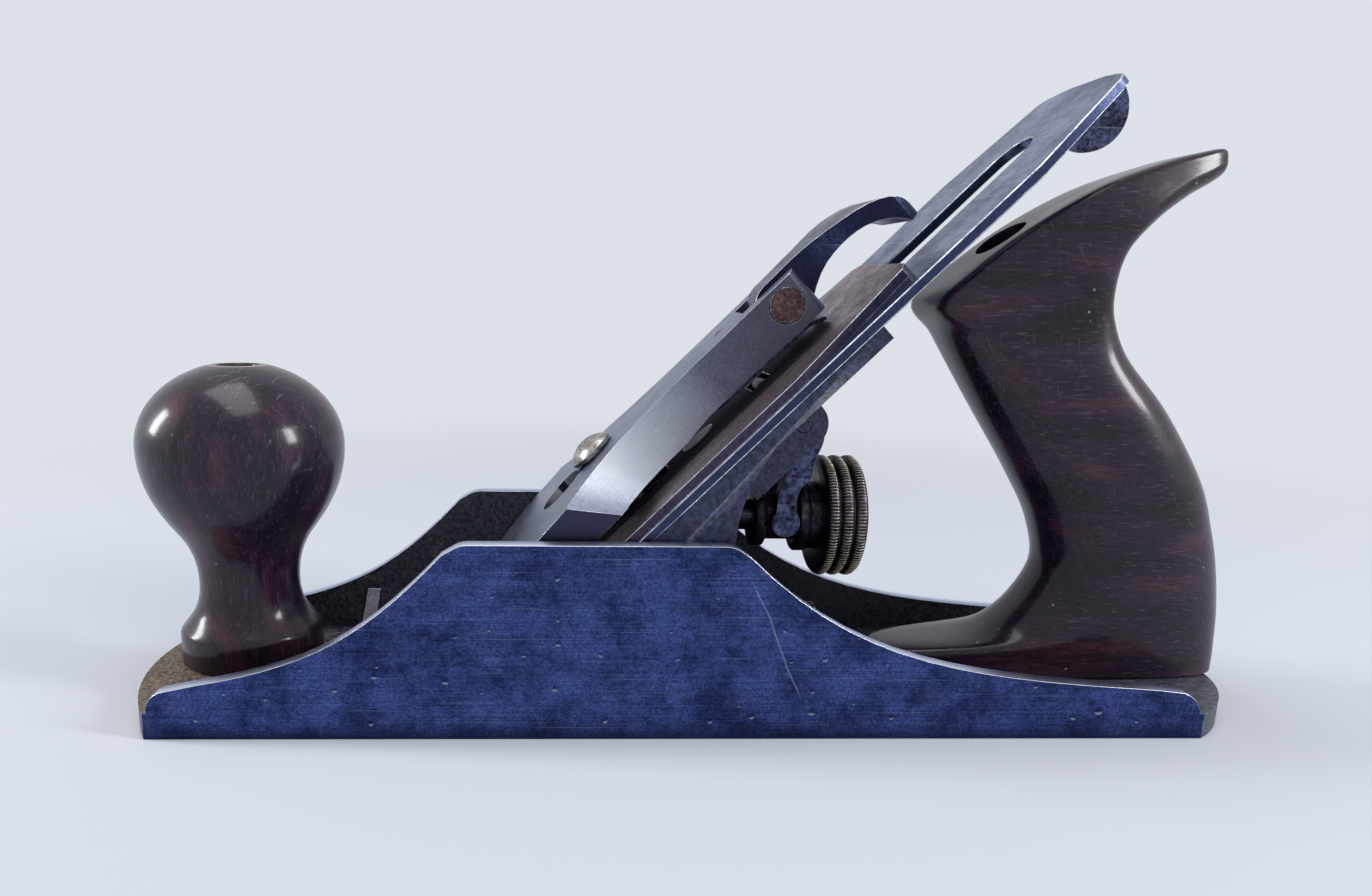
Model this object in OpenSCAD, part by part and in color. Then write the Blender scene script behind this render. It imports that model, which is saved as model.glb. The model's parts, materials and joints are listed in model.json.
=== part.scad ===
// Smoothing plane with a cast bed, a screw-adjusted iron and rosewood handles.
// X runs from toe to heel, Y across the sole and Z up. The sole lies on Z = 0.

/* [Casting] */
// Width of the sole
sole_w = 54; // [48:0.2:62]
// Length of the straight cheeks from corner to corner
cheek_len = 203; // [198:0.5:215]
// How far the curved toe stands in front of the cheeks
toe_bulge = 7.6; // [4:0.1:12]
// How far the curved heel stands behind the cheeks
heel_bulge = 15; // [14:0.5:20]
// Thickness of the sole
sole_t = 5.2; // [4.5:0.1:6]
// Thickness of each cheek
cheek_t = 3.5; // [3:0.1:3.7]
// Height of the cheeks beside the iron
cheek_h = 38.2; // [32:0.2:44]
// Height of the cheeks at the toe and heel ends
cheek_end_h = 10; // [9:0.1:12]
// Front end of the high part of the cheeks, measured from the middle
crest_front = 44; // [38:0.5:50]
// Rear end of the high part of the cheeks, measured from the middle
crest_rear = 9.5; // [5:0.5:14]
// Height of the web in front of the mouth where it meets the cheeks
web_h = 14.7; // [11:0.1:16]
// Width of the bare mouth in front of the cutting edge
mouth_gap = 0.8; // [0.5:0.1:3]

/* [Iron] */
// Pitch of the bed above the sole
bed_angle = 45; // [44:0.5:47]
// Place of the cutting edge in front of the middle
edge_x = 47; // [45:0.5:50]
// Room beside the cutter, to each cheek
cutter_room = 1.3; // [1.2:0.1:2.5]
// Thickness of the cutter
cutter_t = 2; // [1.8:0.1:2.6]
// Length of the cutter along the bed
cutter_len = 175; // [165:0.5:185]
// Width of the cutter at its top end, as a share of its width
cutter_top_share = 0.743; // [0.65:0.01:0.85]
// Length of the tapered top of the cutter
cutter_taper = 25; // [15:0.5:30]
// Width of the slot in the cutter
slot_w = 11.1; // [10.9:0.1:12.5]
// Grinding angle of the bevel
bevel = 25; // [20:1:35]
// Thickness of the cap iron
cap_iron_t = 1.9; // [1.6:0.1:2.4]
// Length of the cap iron
cap_iron_len = 123; // [118:0.5:128]
// Height of the hump above the flat of the cap iron
hump_h = 2.4; // [1.8:0.1:2.8]

/* [Lever cap] */
// Length of the lever cap
cap_len = 100; // [97:0.5:103]
// How much narrower than the cutter its lower end is, at each side
cap_low_step = 0.7; // [0.5:0.1:3]
// Width of its neck
cap_neck_w = 17; // [16:0.5:20]
// Thickness of its neck
cap_t = 9.8; // [9.4:0.1:12]
// Thickness of the walls round its hollow underside
cap_wall = 3; // [2.4:0.1:3.6]
// Gap under its neck, above the cap iron
cap_lift = 3; // [2.9:0.1:3.8]
// Travel of its keyhole from locked to lifted off
key_travel = 10; // [9:0.5:11]
// Diameter of the bore for the pin that carries the cam
cam_pin_d = 7.2; // [5.5:0.1:7.6]
// Width of the thumb piece of the cam lever
cam_w = 18; // [14:0.5:22]
// Width of the round part of the cam between its ears
cam_hub_w = 8; // [6:0.2:9]
// Reach of the cam lever from its pin
cam_reach = 30; // [27:0.5:34]

/* [Frog] */
// Room beside the frog, to each cheek
frog_room = 1.5; // [1:0.1:2.5]
// Length of the bed of the frog
frog_len = 101.6; // [101:0.2:104]
// Thickness of the bed plate at its edges
frog_plate = 2.8; // [2.6:0.1:3.6]
// Thickness of its side walls
frog_wall = 4; // [3:0.1:4.5]
// Rear face of the frog behind the middle
frog_rear = 9.3; // [8:0.1:10.5]
// Height of the seat that carries the frog above the floor of the bed
frog_seat_h = 2; // [1.5:0.1:3]

/* [Depth adjuster] */
// Height of the axis of the depth wheel
wheel_z = 38.4; // [37.5:0.1:39.5]
// Diameter over the knurled ribs of the wheel
wheel_d = 25.2; // [22:0.1:25.6]
// Length of the knurled rim
rim_len = 8.3; // [6:0.1:9]
// Number of ribs on the rim
rib_n = 3; // [2:1:4]
// Diameter of the stud that carries the wheel
stud_d = 6.35; // [5:0.05:6.6]
// Diameter of the round tips of the yoke
lobe_d = 5.8; // [5.2:0.1:6.2]
// Diameter of the pin of the yoke
yoke_pin_d = 3.2; // [2.5:0.1:4]

/* [Knob] */
// Height of the front knob
knob_h = 61; // [58:0.5:66]
// Largest diameter of the knob
knob_d = 40.7; // [36:0.2:44]
// Height of its widest part above its foot
belly_z = 45; // [43:0.5:47]
// Diameter of its waist
waist_d = 20.2; // [18:0.2:22]
// Height of its waist above its foot
waist_z = 16.6; // [15:0.2:19]
// Diameter of its foot
foot_d = 28.8; // [27:0.2:32]
// Axis of the knob in front of the middle
knob_x = 88; // [86:0.2:90]

/* [Handle] */
// Height of the handle at its horn
tote_h = 106.6; // [98:0.2:120]
// Length of the handle's foot
tote_len = 73; // [68:0.2:76]
// Thickness of the handle across the grip
tote_w = 23; // [20:0.2:26]
// Rear foot of the handle behind the middle
tote_x = 116; // [114:0.2:116.4]
// Diameter of the bore for the stud
tote_bore = 7; // [6.8:0.1:8]

/* [Fits] */
// Gap between faces that slide on each other
slide_gap = 0.1; // [0.06:0.01:0.15]
// Gap between parts that pass without touching
free_gap = 0.3; // [0.25:0.01:0.4]
// Radial gap of a pin in a part that turns on it
pin_gap = 0.08; // [0.03:0.01:0.1]

/* [Hidden] */
$fn = 48;
eps = 0.01;
half_w = sole_w / 2;
half_len = cheek_len / 2;
inner_w = sole_w - 2 * cheek_t;
end_round = 5.5;
end_run = 0.8;
mouth_w = inner_w - 0.4;
cutter_w = inner_w - 2 * cutter_room;
cutter_top_w = cutter_w * cutter_top_share;
frog_w = inner_w - 2 * frog_room;
cap_low_w = cutter_w - 2 * cap_low_step;

// Travel of the moving parts
frog_travel = 1.5;
depth_out = 1.1;
depth_in = 1.8;
swing = 6;

// Bed frame: s runs up the bed from the sole and n is square to it
edge_lift = 0.3;
cutter_n = slide_gap;
bed_x = -edge_x + (cutter_n + cutter_t) / sin(bed_angle);
edge_s = -(cutter_n + cutter_t) / tan(bed_angle) + edge_lift;
function bed_point(s, n) =
    [bed_x + s * cos(bed_angle) - n * sin(bed_angle), s * sin(bed_angle) + n * cos(bed_angle)];

// Heights above the bed of the stacked pieces
cap_iron_n = cutter_n + cutter_t;
cap_iron_top = cap_iron_n + cap_iron_t;
cap_n = cap_iron_top + cap_lift;
cap_top = cap_n + cap_t;
lip_n = cap_iron_top + hump_h + free_gap;

// Places along the bed
floor_gap = 0.1;
ledge_h = 1;
ledge_z = sole_t + ledge_h;
frog_s0 = (ledge_z + floor_gap) / sin(bed_angle);
frog_s1 = frog_s0 + frog_len;
cutter_top = edge_s + cutter_len;
slot_top = cutter_top - 14.5;
cap_iron_s0 = edge_s + 1.4;
cap_iron_s1 = cap_iron_s0 + cap_iron_len;
hump_len = 21;
cap_s0 = cap_iron_s0 + 8.5;
cap_s1 = cap_s0 + cap_len;
cap_screw_s = 55.5;
iron_screw_s = 73;
yoke_s = 89.5;
roller_s = 99.5;
pivot_s = 107.5;
cam_s = cap_s1 - 5.6;
cam_n = cap_n + 5.6;
cam_r = 5.6;
cam_offset = 0.4;

// Fasteners
thread_d = 6.4;
slot_cut = 1.2;
cap_screw_d = 5.5;
cap_screw_deep = 7.6;
cap_screw_head = 9.8;
iron_screw_d = 7.5;
iron_screw_head = 14;
iron_screw_head_t = 4;
frog_screw_d = 5.5;
frog_screw_head = 9.6;
frog_screw_x = bed_x + 31.2;
frog_screw_y = frog_w / 2 - 10;
washer_t = 1.2;
washer_d = 12;
pocket_d = washer_d + 1;
roller_d = slot_w - 1.5;
roller_t = cutter_t - 0.5;
roller_rivet_d = 3;
pivot_d = 4;
lever_t = 1.6;
lever_n = -lever_t - free_gap;
rivet_d = 2.6;

// Depth adjuster
yoke_n = -6.3;
yoke_x = bed_point(yoke_s, yoke_n)[0];
yoke_z = bed_point(yoke_s, yoke_n)[1];
yoke_t = 3;
yoke_tip_r = 1.7;
yoke_tip_n = cap_iron_top - yoke_tip_r;
ear_r = 4.8;
ear_t = 4.2;
rib_t = 2.4;
lobe_x = yoke_x - 1.6;
flange_r = 7.5;
inner_flange_r = 6.5;
core_r = 5.1;
flange_t = 2.3;
hub_len = 2;
groove_w = lobe_d + 2 * (free_gap + 0.1);
wheel_x0 = lobe_x - groove_w / 2 - flange_t;
rim_x0 = lobe_x + groove_w / 2 + flange_t + hub_len;
rim_x1 = rim_x0 + rim_len;
wheel_in = 4;
wheel_out = 2.5;
boss_r = 7.5;
boss_x = wheel_x0 - wheel_in - 1;
stud_deep = 5.5;
fork_half = core_r + free_gap + yoke_t;

// Seats of the frog and its adjusting screw
seat_z = sole_t + frog_seat_h;
foot_t = 6;
adj_z = 16;
collar_r = 3.6;
neck_r = 2.4;
fork_t = 2;
fork_screw_z = wheel_z - boss_r - 5.4;
fork_screw_d = 3;
adj_boss_x = frog_rear + 9;
adj_boss_len = 8;
mouth_front = bed_point(edge_s, cap_iron_n)[0] - frog_travel - depth_out * cos(bed_angle) - mouth_gap + 0.3;
mouth_rear = bed_x + 4.5;

// Handles
knob_seat = 2;
knob_z = sole_t + knob_seat;
knob_nut_d = 7.8;
tote_seat = 0.4;
tote_z = sole_t + tote_seat;
handle_stud_d = 6;
nut_depth = 14;
stud_top_z = tote_z + tote_h * 0.832;
stud_top_x = tote_x - tote_len * 0.71 + (tote_h - 106.6) * 0.832;
stud_foot_x = tote_x - tote_len * 0.107;
stud_lean = atan((stud_foot_x - stud_top_x) / stud_top_z);

module along_bed() {
    translate([bed_x, 0, 0]) rotate([0, -bed_angle, 0]) children();
}

// Extrudes a side view across the plane, centred on its middle
module across(w) {
    rotate([90, 0, 0]) translate([0, 0, -w / 2]) linear_extrude(w) children();
}

module cross_pin(d, w, x, z) {
    translate([x, w / 2, z]) rotate([90, 0, 0]) cylinder(h = w, d = d);
}

// Round hole drawn out along X by a travel each way
module long_hole(d, travel, h) {
    for (dx = [-travel, travel]) translate([dx, 0, 0]) cylinder(h = h, d = d);
    translate([-travel, -d / 2, 0]) cube([2 * travel, d, h]);
}

module mirrored() {
    children();
    mirror([0, 1, 0]) children();
}

function arc(cx, cy, r, a0, a1, n) =
    [for (i = [0 : n]) let (a = a0 + (a1 - a0) * i / n) [cx + r * cos(a), cy + r * sin(a)]];

function bezier(a, b, c, d, n) = [
    for (i = [0 : n])
        let (t = i / n, u = 1 - t)
        u * u * u * a + 3 * u * u * t * b + 3 * u * t * t * c + t * t * t * d
];

function reverse(p) = [for (i = [len(p) - 1 : -1 : 0]) p[i]];

function both_sides(p) = concat(p, [for (q = reverse(p)) [q[0], -q[1]]]);

function mix(a, b, t) = a + (b - a) * t;

// Smooth curve through a list of stations, each a vector of any length
function spline_at(p, t) =
    let (
        m = len(p) - 1,
        k = min(floor(t), m - 1),
        u = t - k,
        a = p[max(k - 1, 0)],
        b = p[k],
        c = p[k + 1],
        d = p[min(k + 2, m)]
    )
    0.5 * (2 * b + u * (c - a) + u * u * (2 * a - 5 * b + 4 * c - d) + u * u * u * (3 * b - a - 3 * c + d));

// Side view of a cheek: a high crest beside the iron that sweeps down to both ends
module cheek_profile() {
    toe_nose = arc(-half_len + 4, cheek_end_h - 4.4, 4, 180, 110, 5);
    front = bezier([-half_len + 9.4, cheek_end_h + 0.8], [-half_len + 31, cheek_end_h + 4.6],
        [-crest_front - 16.5, cheek_h - 17.8], [-crest_front - 1.8, cheek_h - 2], 14);
    crest_a = arc(-crest_front + 3, cheek_h - 5, 5, 125, 90, 4);
    crest_b = arc(crest_rear - 3, cheek_h - 6, 6, 90, 48, 4);
    rear = bezier([crest_rear + 1.9, cheek_h - 2.1], [crest_rear + 24, cheek_h - 23.5],
        [half_len - 46.6, cheek_end_h + 2.4], [half_len - 8.8, cheek_end_h], 14);
    heel_nose = arc(half_len - end_round, cheek_end_h - end_round - 0.3, end_round, 70, -20, 7);
    polygon(concat([[-half_len, 0]], toe_nose, front, crest_a, crest_b, rear, heel_nose, [[half_len - 1.2, 0]]));
}

// Curved end of the sole, drawn towards +X as a slice of a large cylinder
module sole_end(bulge, h) {
    reach = bulge - end_run;
    r = (half_w * half_w + reach * reach) / (2 * reach);
    intersection() {
        translate([half_len + bulge - r, 0, 0]) cylinder(h = h, r = r, $fn = 96);
        translate([half_len - 2, -half_w, 0]) cube([bulge + 4, sole_w, h]);
    }
}

module sole_plate() {
    translate([-half_len - end_run / 2, -half_w, 0]) cube([cheek_len + end_run, sole_w, sole_t]);
    sole_end(heel_bulge, sole_t);
    mirror([1, 0, 0]) sole_end(toe_bulge, sole_t);
}

module web() {
    rise = web_h - sole_t;
    sag_r = (inner_w * inner_w / 4 + rise * rise * 0.64) / (1.6 * rise);
    translate([-67.5, 0, sole_t - eps]) difference() {
        translate([0, -inner_w / 2 - eps, 0]) cube([3, inner_w + 2 * eps, rise]);
        translate([-1, 0, sag_r + rise * 0.2]) rotate([0, 90, 0]) cylinder(h = 5, r = sag_r, $fn = 96);
    }
}

module along_handle_stud() {
    translate([stud_foot_x, 0, 0]) rotate([0, -stud_lean, 0]) children();
}

module base_casting() {
    rail_x0 = mouth_rear + 16;
    rail_x1 = frog_rear + 2;
    color("#33363f") difference() {
        union() {
            sole_plate();
            mirrored() translate([0, half_w - cheek_t / 2, 0]) across(cheek_t) cheek_profile();
            web();
            // Round seat of the knob
            translate([-knob_x, 0, sole_t - eps]) cylinder(h = knob_seat + eps, d = foot_d + 2.6);
            // Two rails that carry the frog
            mirrored() translate([rail_x0, frog_screw_y - 6, sole_t - eps])
                cube([rail_x1 - rail_x0, 12, frog_seat_h + eps]);
            // Ledge behind the mouth for the foot of the frog
            translate([mouth_rear, -inner_w / 2 - eps, sole_t - eps]) cube([7, inner_w + 2 * eps, ledge_h + eps]);
            // Boss of the frog adjusting screw
            translate([adj_boss_x, 0, adj_z]) rotate([0, 90, 0]) cylinder(h = adj_boss_len, r = 5.5);
            translate([adj_boss_x, -5.5, sole_t - eps]) cube([adj_boss_len, 11, adj_z - sole_t]);
            // Raised seat of the handle
            translate([tote_x - tote_len + 1, -7, sole_t - eps]) cube([tote_len - 11, 14, tote_seat + eps]);
        }
        // Mouth across the sole
        translate([mouth_front, -mouth_w / 2, -1]) cube([mouth_rear - mouth_front, mouth_w, sole_t + 3]);
        // Sloped rear wall of the mouth behind the iron
        translate([mouth_rear - eps, 0, 0]) across(mouth_w)
            polygon([[0, ledge_z + 1], [0, 1.5], [ledge_z - 0.5, ledge_z + 1]]);
        // Tapped holes of the frog screws, the two handle studs and the adjusting screw
        mirrored() translate([frog_screw_x, frog_screw_y, 1.2]) cylinder(h = 20, d = frog_screw_d + 2 * pin_gap);
        translate([-knob_x, 0, 1.2]) cylinder(h = 20, d = thread_d + 2 * pin_gap);
        along_handle_stud() translate([0, 0, 3.4]) cylinder(h = 20, d = handle_stud_d + 2 * pin_gap);
        translate([adj_boss_x - 1, 0, adj_z]) rotate([0, 90, 0])
            cylinder(h = adj_boss_len + 2, d = thread_d + 2 * pin_gap);
    }
}

// Turned outline of the knob: foot, waist and flattened ball
function knob_curve() =
    let (
        r = knob_d / 2,
        w = waist_d / 2,
        f = foot_d / 2,
        lower = bezier([f - 0.5, 6.6], [f - 1.4, 9.5], [w, waist_z - 4.6], [w, waist_z], 7),
        neck = bezier([w, waist_z], [w, waist_z + 4.4], [w + 1.1, waist_z + 7.8], [w + 3.5, belly_z - 17.4], 6),
        belly = bezier([w + 3.5, belly_z - 17.4], [w + 6.4, belly_z - 13.5], [r, belly_z - 8], [r, belly_z], 7),
        ball = [for (a = [10 : 9 : 73]) [r * cos(a), belly_z + (knob_h - belly_z) * 1.04 * sin(a)]],
        flat = [r * cos(74.4), knob_h]
    )
    concat([[0, 0], [f, 0], [f, 4.4]], lower, [for (i = [1 : 6]) neck[i]], [for (i = [1 : 7]) belly[i]],
        ball, [flat, [0, knob_h]]);

module front_knob() {
    color("#3a2326") translate([-knob_x, 0, knob_z]) difference() {
        rotate_extrude($fn = 72) polygon(knob_curve());
        translate([0, 0, -1]) cylinder(h = knob_h + 2, d = thread_d + 0.8);
        translate([0, 0, knob_h - 4]) cylinder(h = 5, d = knob_nut_d + 2 * pin_gap);
    }
}

module knob_stud() {
    color("#55565a") translate([-knob_x, 0, 1.5]) cylinder(h = knob_z + knob_h - 4 - 1.5, d = thread_d);
}

module knob_nut() {
    color("#5b4c33") translate([-knob_x, 0, knob_z + knob_h - 4 + eps]) difference() {
        cylinder(h = 3.5, d = knob_nut_d);
        translate([-knob_nut_d, -slot_cut / 2, 2.3]) cube([2 * knob_nut_d, slot_cut, 3]);
    }
}

// Stations of the handle from foot to horn: front edge, rear edge, half width and squareness.
// The edges are places behind the front foot and heights, for a handle of standard size.
// A taller handle leans back by as much as it grows, so it keeps its distance from the iron.
tote_stations = [
    [0, 0, 75.6, 0, 0.42, 3.4],
    [2, 5.2, 75.8, 4.5, 0.44, 3],
    [24, 8.8, 75.2, 13, 0.46, 2.6],
    [34.6, 20.5, 73.4, 22.5, 0.48, 2.4],
    [33.6, 31, 71, 31, 0.5, 2.3],
    [27.6, 42, 67, 41.5, 0.5, 2.3],
    [17.6, 57, 57.6, 55.5, 0.49, 2.4],
    [9.5, 70, 47.3, 66.3, 0.46, 3],
    [6.3, 76.4, 42.9, 73.3, 0.43, 4.5],
    [12, 82.6, 41.8, 79.6, 0.42, 5],
    [22.5, 91, 43.4, 86.8, 0.41, 4.4],
    [36, 99, 48.8, 92.7, 0.37, 3.2],
    [49, 103.8, 55.4, 97.4, 0.27, 2.4],
    [57, 105.8, 59.8, 99.9, 0.19, 2.2],
    [61.4, 106.6, 62.6, 101.8, 0.12, 2],
    [63.2, 105.8, 63.2, 103.5, 0.05, 2]
];

// One ring of the handle: a rounded section across the line from its front to its rear edge
function tote_ring(q, sides) =
    let (k = tote_h / 106.6, kx = tote_len / 73, x0 = tote_x - tote_len, e = 2 / q[5])
    [for (j = [0 : sides - 1])
        let (
            a = 360 * (j + 0.5) / sides,
            c = sign(cos(a)) * pow(abs(cos(a)), e),
            s = sign(sin(a)) * pow(abs(sin(a)), e),
            z = mix(q[1], q[3], 0.5 + c / 2)
        )
        [x0 + kx * mix(q[0], q[2], 0.5 + c / 2) + (k - 1) * z, s * q[4] * tote_w, k * z]];

module tote_body() {
    per = 3;
    sides = 20;
    rings = (len(tote_stations) - 1) * per + 1;
    points = [for (i = [0 : rings - 1]) each tote_ring(spline_at(tote_stations, i / per), sides)];
    walls = [
        for (i = [0 : rings - 2], j = [0 : sides - 1])
            let (a = i * sides + j, b = i * sides + (j + 1) % sides)
            each [[a, b, b + sides], [a, b + sides, a + sides]]
    ];
    last = (rings - 1) * sides;
    foot = [for (j = [0 : sides - 1]) sides - 1 - j];
    tip = [for (j = [0 : sides - 1]) last + j];
    polyhedron(points, concat([foot], walls, [tip]));
}

// Length of the handle stud's axis from the sole to the flat below the horn
stud_reach = stud_top_z / cos(stud_lean);

module rear_handle() {
    color("#3b1d1c") difference() {
        translate([0, 0, tote_z]) tote_body();
        along_handle_stud() cylinder(h = stud_reach + 20, d = tote_bore);
        along_handle_stud() translate([0, 0, stud_reach - nut_depth]) cylinder(h = nut_depth + 20, d = tote_bore + 3.4);
    }
}

module handle_stud() {
    color("#55565a") along_handle_stud() translate([0, 0, 3.8])
        cylinder(h = stud_reach - nut_depth + 5 - 3.8, d = handle_stud_d);
}

module handle_nut() {
    color("#6b5a3a") along_handle_stud() translate([0, 0, stud_reach - nut_depth + eps]) difference() {
        cylinder(h = 7, d = tote_bore + 2.8);
        translate([0, 0, -1]) cylinder(h = 6.2, d = handle_stud_d + 2 * pin_gap);
        translate([-6, -slot_cut / 2, 5.6]) cube([12, slot_cut, 3]);
    }
}

// Side view of the frog: a thin plate on the bed, sweeping down into a deep foot
module frog_profile() {
    low = bed_point(frog_s0, 0);
    neck = bed_point(82, -frog_plate);
    sweep = bezier(neck, [neck[0] - 3.9, neck[1] - 6], [frog_rear, wheel_z + 6], [frog_rear, wheel_z - 2], 8);
    polygon(concat([low, bed_point(frog_s1, 0), bed_point(frog_s1, -frog_plate)], sweep,
        [[frog_rear, seat_z + slide_gap], [bed_x + 17, seat_z + slide_gap],
        [bed_x + 12, ledge_z + slide_gap], [low[0] + 1, ledge_z + slide_gap]]));
}

// One ear of the yoke, seen from the side
module yoke_ear() {
    s0 = yoke_s - ear_r;
    s1 = yoke_s + ear_r;
    polygon([bed_point(s0, -frog_plate + 1), bed_point(s1, -frog_plate + 1), bed_point(s1, yoke_n), bed_point(s0, yoke_n)]);
    translate([yoke_x, yoke_z]) circle(r = ear_r);
}

// Rib under the bed that ends in a round lug and hides the fork of the yoke
module yoke_rib() {
    polygon([bed_point(72, -1), bed_point(yoke_s + ear_r, -1), bed_point(yoke_s + ear_r, yoke_n),
        bed_point(yoke_s, yoke_n - ear_r), bed_point(73, yoke_n - ear_r)]);
    translate([yoke_x, yoke_z]) circle(r = ear_r);
}

module frog_solid() {
    intersection() {
        across(frog_w) frog_profile();
        union() {
            mirrored() translate([-60, frog_w / 2 - frog_wall, 0]) cube([120, frog_wall, 120]);
            along_bed() translate([0, -frog_w / 2, -4]) cube([frog_s1 + 1, frog_w, 6]);
            translate([-60, -frog_w / 2, 0]) cube([120, frog_w, seat_z + foot_t]);
            translate([-60, -frog_w / 2, 0]) cube([60 + frog_screw_x + 10, frog_w, 120]);
            translate([-60, -5.5, 0]) cube([120, 11, wheel_z + 6]);
        }
    }
    // Boss of the depth stud
    translate([frog_rear - 6.5, 0, wheel_z]) rotate([0, 90, 0]) cylinder(h = boss_x - frog_rear + 6.5, r = boss_r);
    mirrored() translate([0, yoke_t + free_gap + ear_t / 2, 0]) across(ear_t) yoke_ear();
    mirrored() translate([0, fork_half + free_gap + rib_t / 2, 0]) across(rib_t) yoke_rib();
    // Pad under the lateral lever, with a short lug at the top
    along_bed() translate([roller_s - 4.5, -11, -4.8]) cube([frog_s1 - roller_s + 4.5, 22, 2.8]);
    along_bed() translate([frog_s1 - 1, -6, -4.8]) cube([3.5, 12, 2.4]);
}

module frog() {
    head_r = iron_screw_head / 2 + 0.5;
    well_s1 = iron_screw_s + head_r + depth_in;
    color("#3a3c42") difference() {
        frog_solid();
        // Well for the head of the cap iron screw
        along_bed() translate([iron_screw_s - head_r - depth_out, -head_r, -iron_screw_head_t - 0.6])
            cube([well_s1 - iron_screw_s + head_r + depth_out, 2 * head_r, iron_screw_head_t + 2]);
        // Slot for the yoke
        along_bed() translate([well_s1 - 1, -yoke_t - free_gap, -12])
            cube([yoke_s + 5.4 - well_s1 + 1, 2 * (yoke_t + free_gap), 14]);
        // Recess in which the lateral lever swings
        along_bed() translate([roller_s - roller_d / 2 - 1.4, -8.5, lever_n - free_gap])
            cube([frog_s1 - roller_s + 20, 17, 6]);
        // Pockets and holes of the frog screws, long enough for its travel
        mirrored() translate([frog_screw_x, frog_screw_y, 0]) {
            translate([0, 0, seat_z + foot_t]) long_hole(pocket_d, frog_travel, 60);
            long_hole(frog_screw_d + 0.6, frog_travel, 60);
        }
        // Holes of the lever cap screw, the lateral pivot, the depth stud and the yoke pin
        along_bed() translate([cap_screw_s, 0, -cap_screw_deep - 0.4]) cylinder(h = 20, d = cap_screw_d + 2 * pin_gap);
        along_bed() translate([pivot_s, 0, -10]) cylinder(h = 12, d = pivot_d + 2 * pin_gap);
        translate([frog_rear - stud_deep - 0.5, 0, wheel_z]) rotate([0, 90, 0]) cylinder(h = 40, d = stud_d + 2 * pin_gap);
        cross_pin(yoke_pin_d + 2 * pin_gap, 30, yoke_x, yoke_z);
        // Room for the collar of the adjusting screw, and the hole of the fork's screw
        translate([frog_rear - 4, 0, adj_z]) rotate([0, 90, 0]) cylinder(h = 20, r = collar_r + 0.6);
        translate([frog_rear - 2.5, 0, fork_screw_z]) rotate([0, 90, 0]) cylinder(h = 6, d = fork_screw_d + 2 * pin_gap);
    }
}

module frog_screws() {
    head_z = seat_z + foot_t + slide_gap + washer_t + slide_gap;
    color("#4a4b50") mirrored() translate([frog_screw_x, frog_screw_y, 0]) difference() {
        union() {
            translate([0, 0, 1.6]) cylinder(h = head_z - 1.6 + eps, d = frog_screw_d);
            translate([0, 0, head_z]) cylinder(h = 3.6, d = frog_screw_head);
        }
        translate([-7, -slot_cut / 2, head_z + 2.2]) cube([14, slot_cut, 3]);
    }
}

module frog_washers() {
    color("#6a6b70") mirrored() translate([frog_screw_x, frog_screw_y, seat_z + foot_t + slide_gap]) difference() {
        cylinder(h = washer_t, d = washer_d);
        translate([0, 0, -1]) cylinder(h = 4, d = frog_screw_d + 2 * pin_gap);
    }
}

// Forked plate that holds the collar of the adjusting screw against the frog
module frog_fork() {
    color("#4a4b50") translate([frog_rear + eps, 0, 0]) difference() {
        translate([0, -6, adj_z - 5]) cube([fork_t, 12, fork_screw_z + 4.6 - adj_z + 5]);
        translate([-1, 0, adj_z]) rotate([0, 90, 0]) cylinder(h = 4, r = neck_r + 0.2);
        translate([-1, -neck_r - 0.2, adj_z - 8]) cube([4, 2 * neck_r + 0.4, 8]);
        translate([-1, 0, fork_screw_z]) rotate([0, 90, 0]) cylinder(h = 4, d = fork_screw_d + 2 * pin_gap);
    }
}

module frog_fork_screw() {
    head_x = fork_t + 2 * eps;
    color("#6a6b70") translate([frog_rear, 0, fork_screw_z]) rotate([0, 90, 0]) difference() {
        union() {
            translate([0, 0, -2.3]) cylinder(h = 2.3 + head_x + 0.5, d = fork_screw_d);
            translate([0, 0, head_x]) cylinder(h = 1.3, d = 5.6);
        }
        translate([-4, -0.4, head_x + 0.7]) cube([8, 0.8, 2]);
    }
}

module frog_adjusting_screw() {
    end_x = adj_boss_x + adj_boss_len + 5 - frog_rear;
    color("#4a4b50") translate([frog_rear, 0, adj_z]) rotate([0, 90, 0]) difference() {
        union() {
            translate([0, 0, -3]) cylinder(h = 2.6, r = collar_r);
            translate([0, 0, -1]) cylinder(h = fork_t + 2, r = neck_r);
            translate([0, 0, fork_t + 0.4]) cylinder(h = end_x - fork_t - 0.4, d = thread_d);
        }
        translate([-5, -slot_cut / 2, end_x - 1.4]) cube([10, slot_cut, 3]);
    }
}

module depth_stud() {
    length = rim_x1 + 0.8 - frog_rear + stud_deep;
    color("#5a5b5e") translate([frog_rear - stud_deep, 0, wheel_z]) rotate([0, 90, 0]) {
        cylinder(h = length, d = stud_d);
        intersection() {
            translate([0, 0, length - stud_d * 0.31]) sphere(d = stud_d * 1.18);
            translate([0, 0, length - eps]) cylinder(h = 3, d = stud_d);
        }
    }
}

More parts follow.
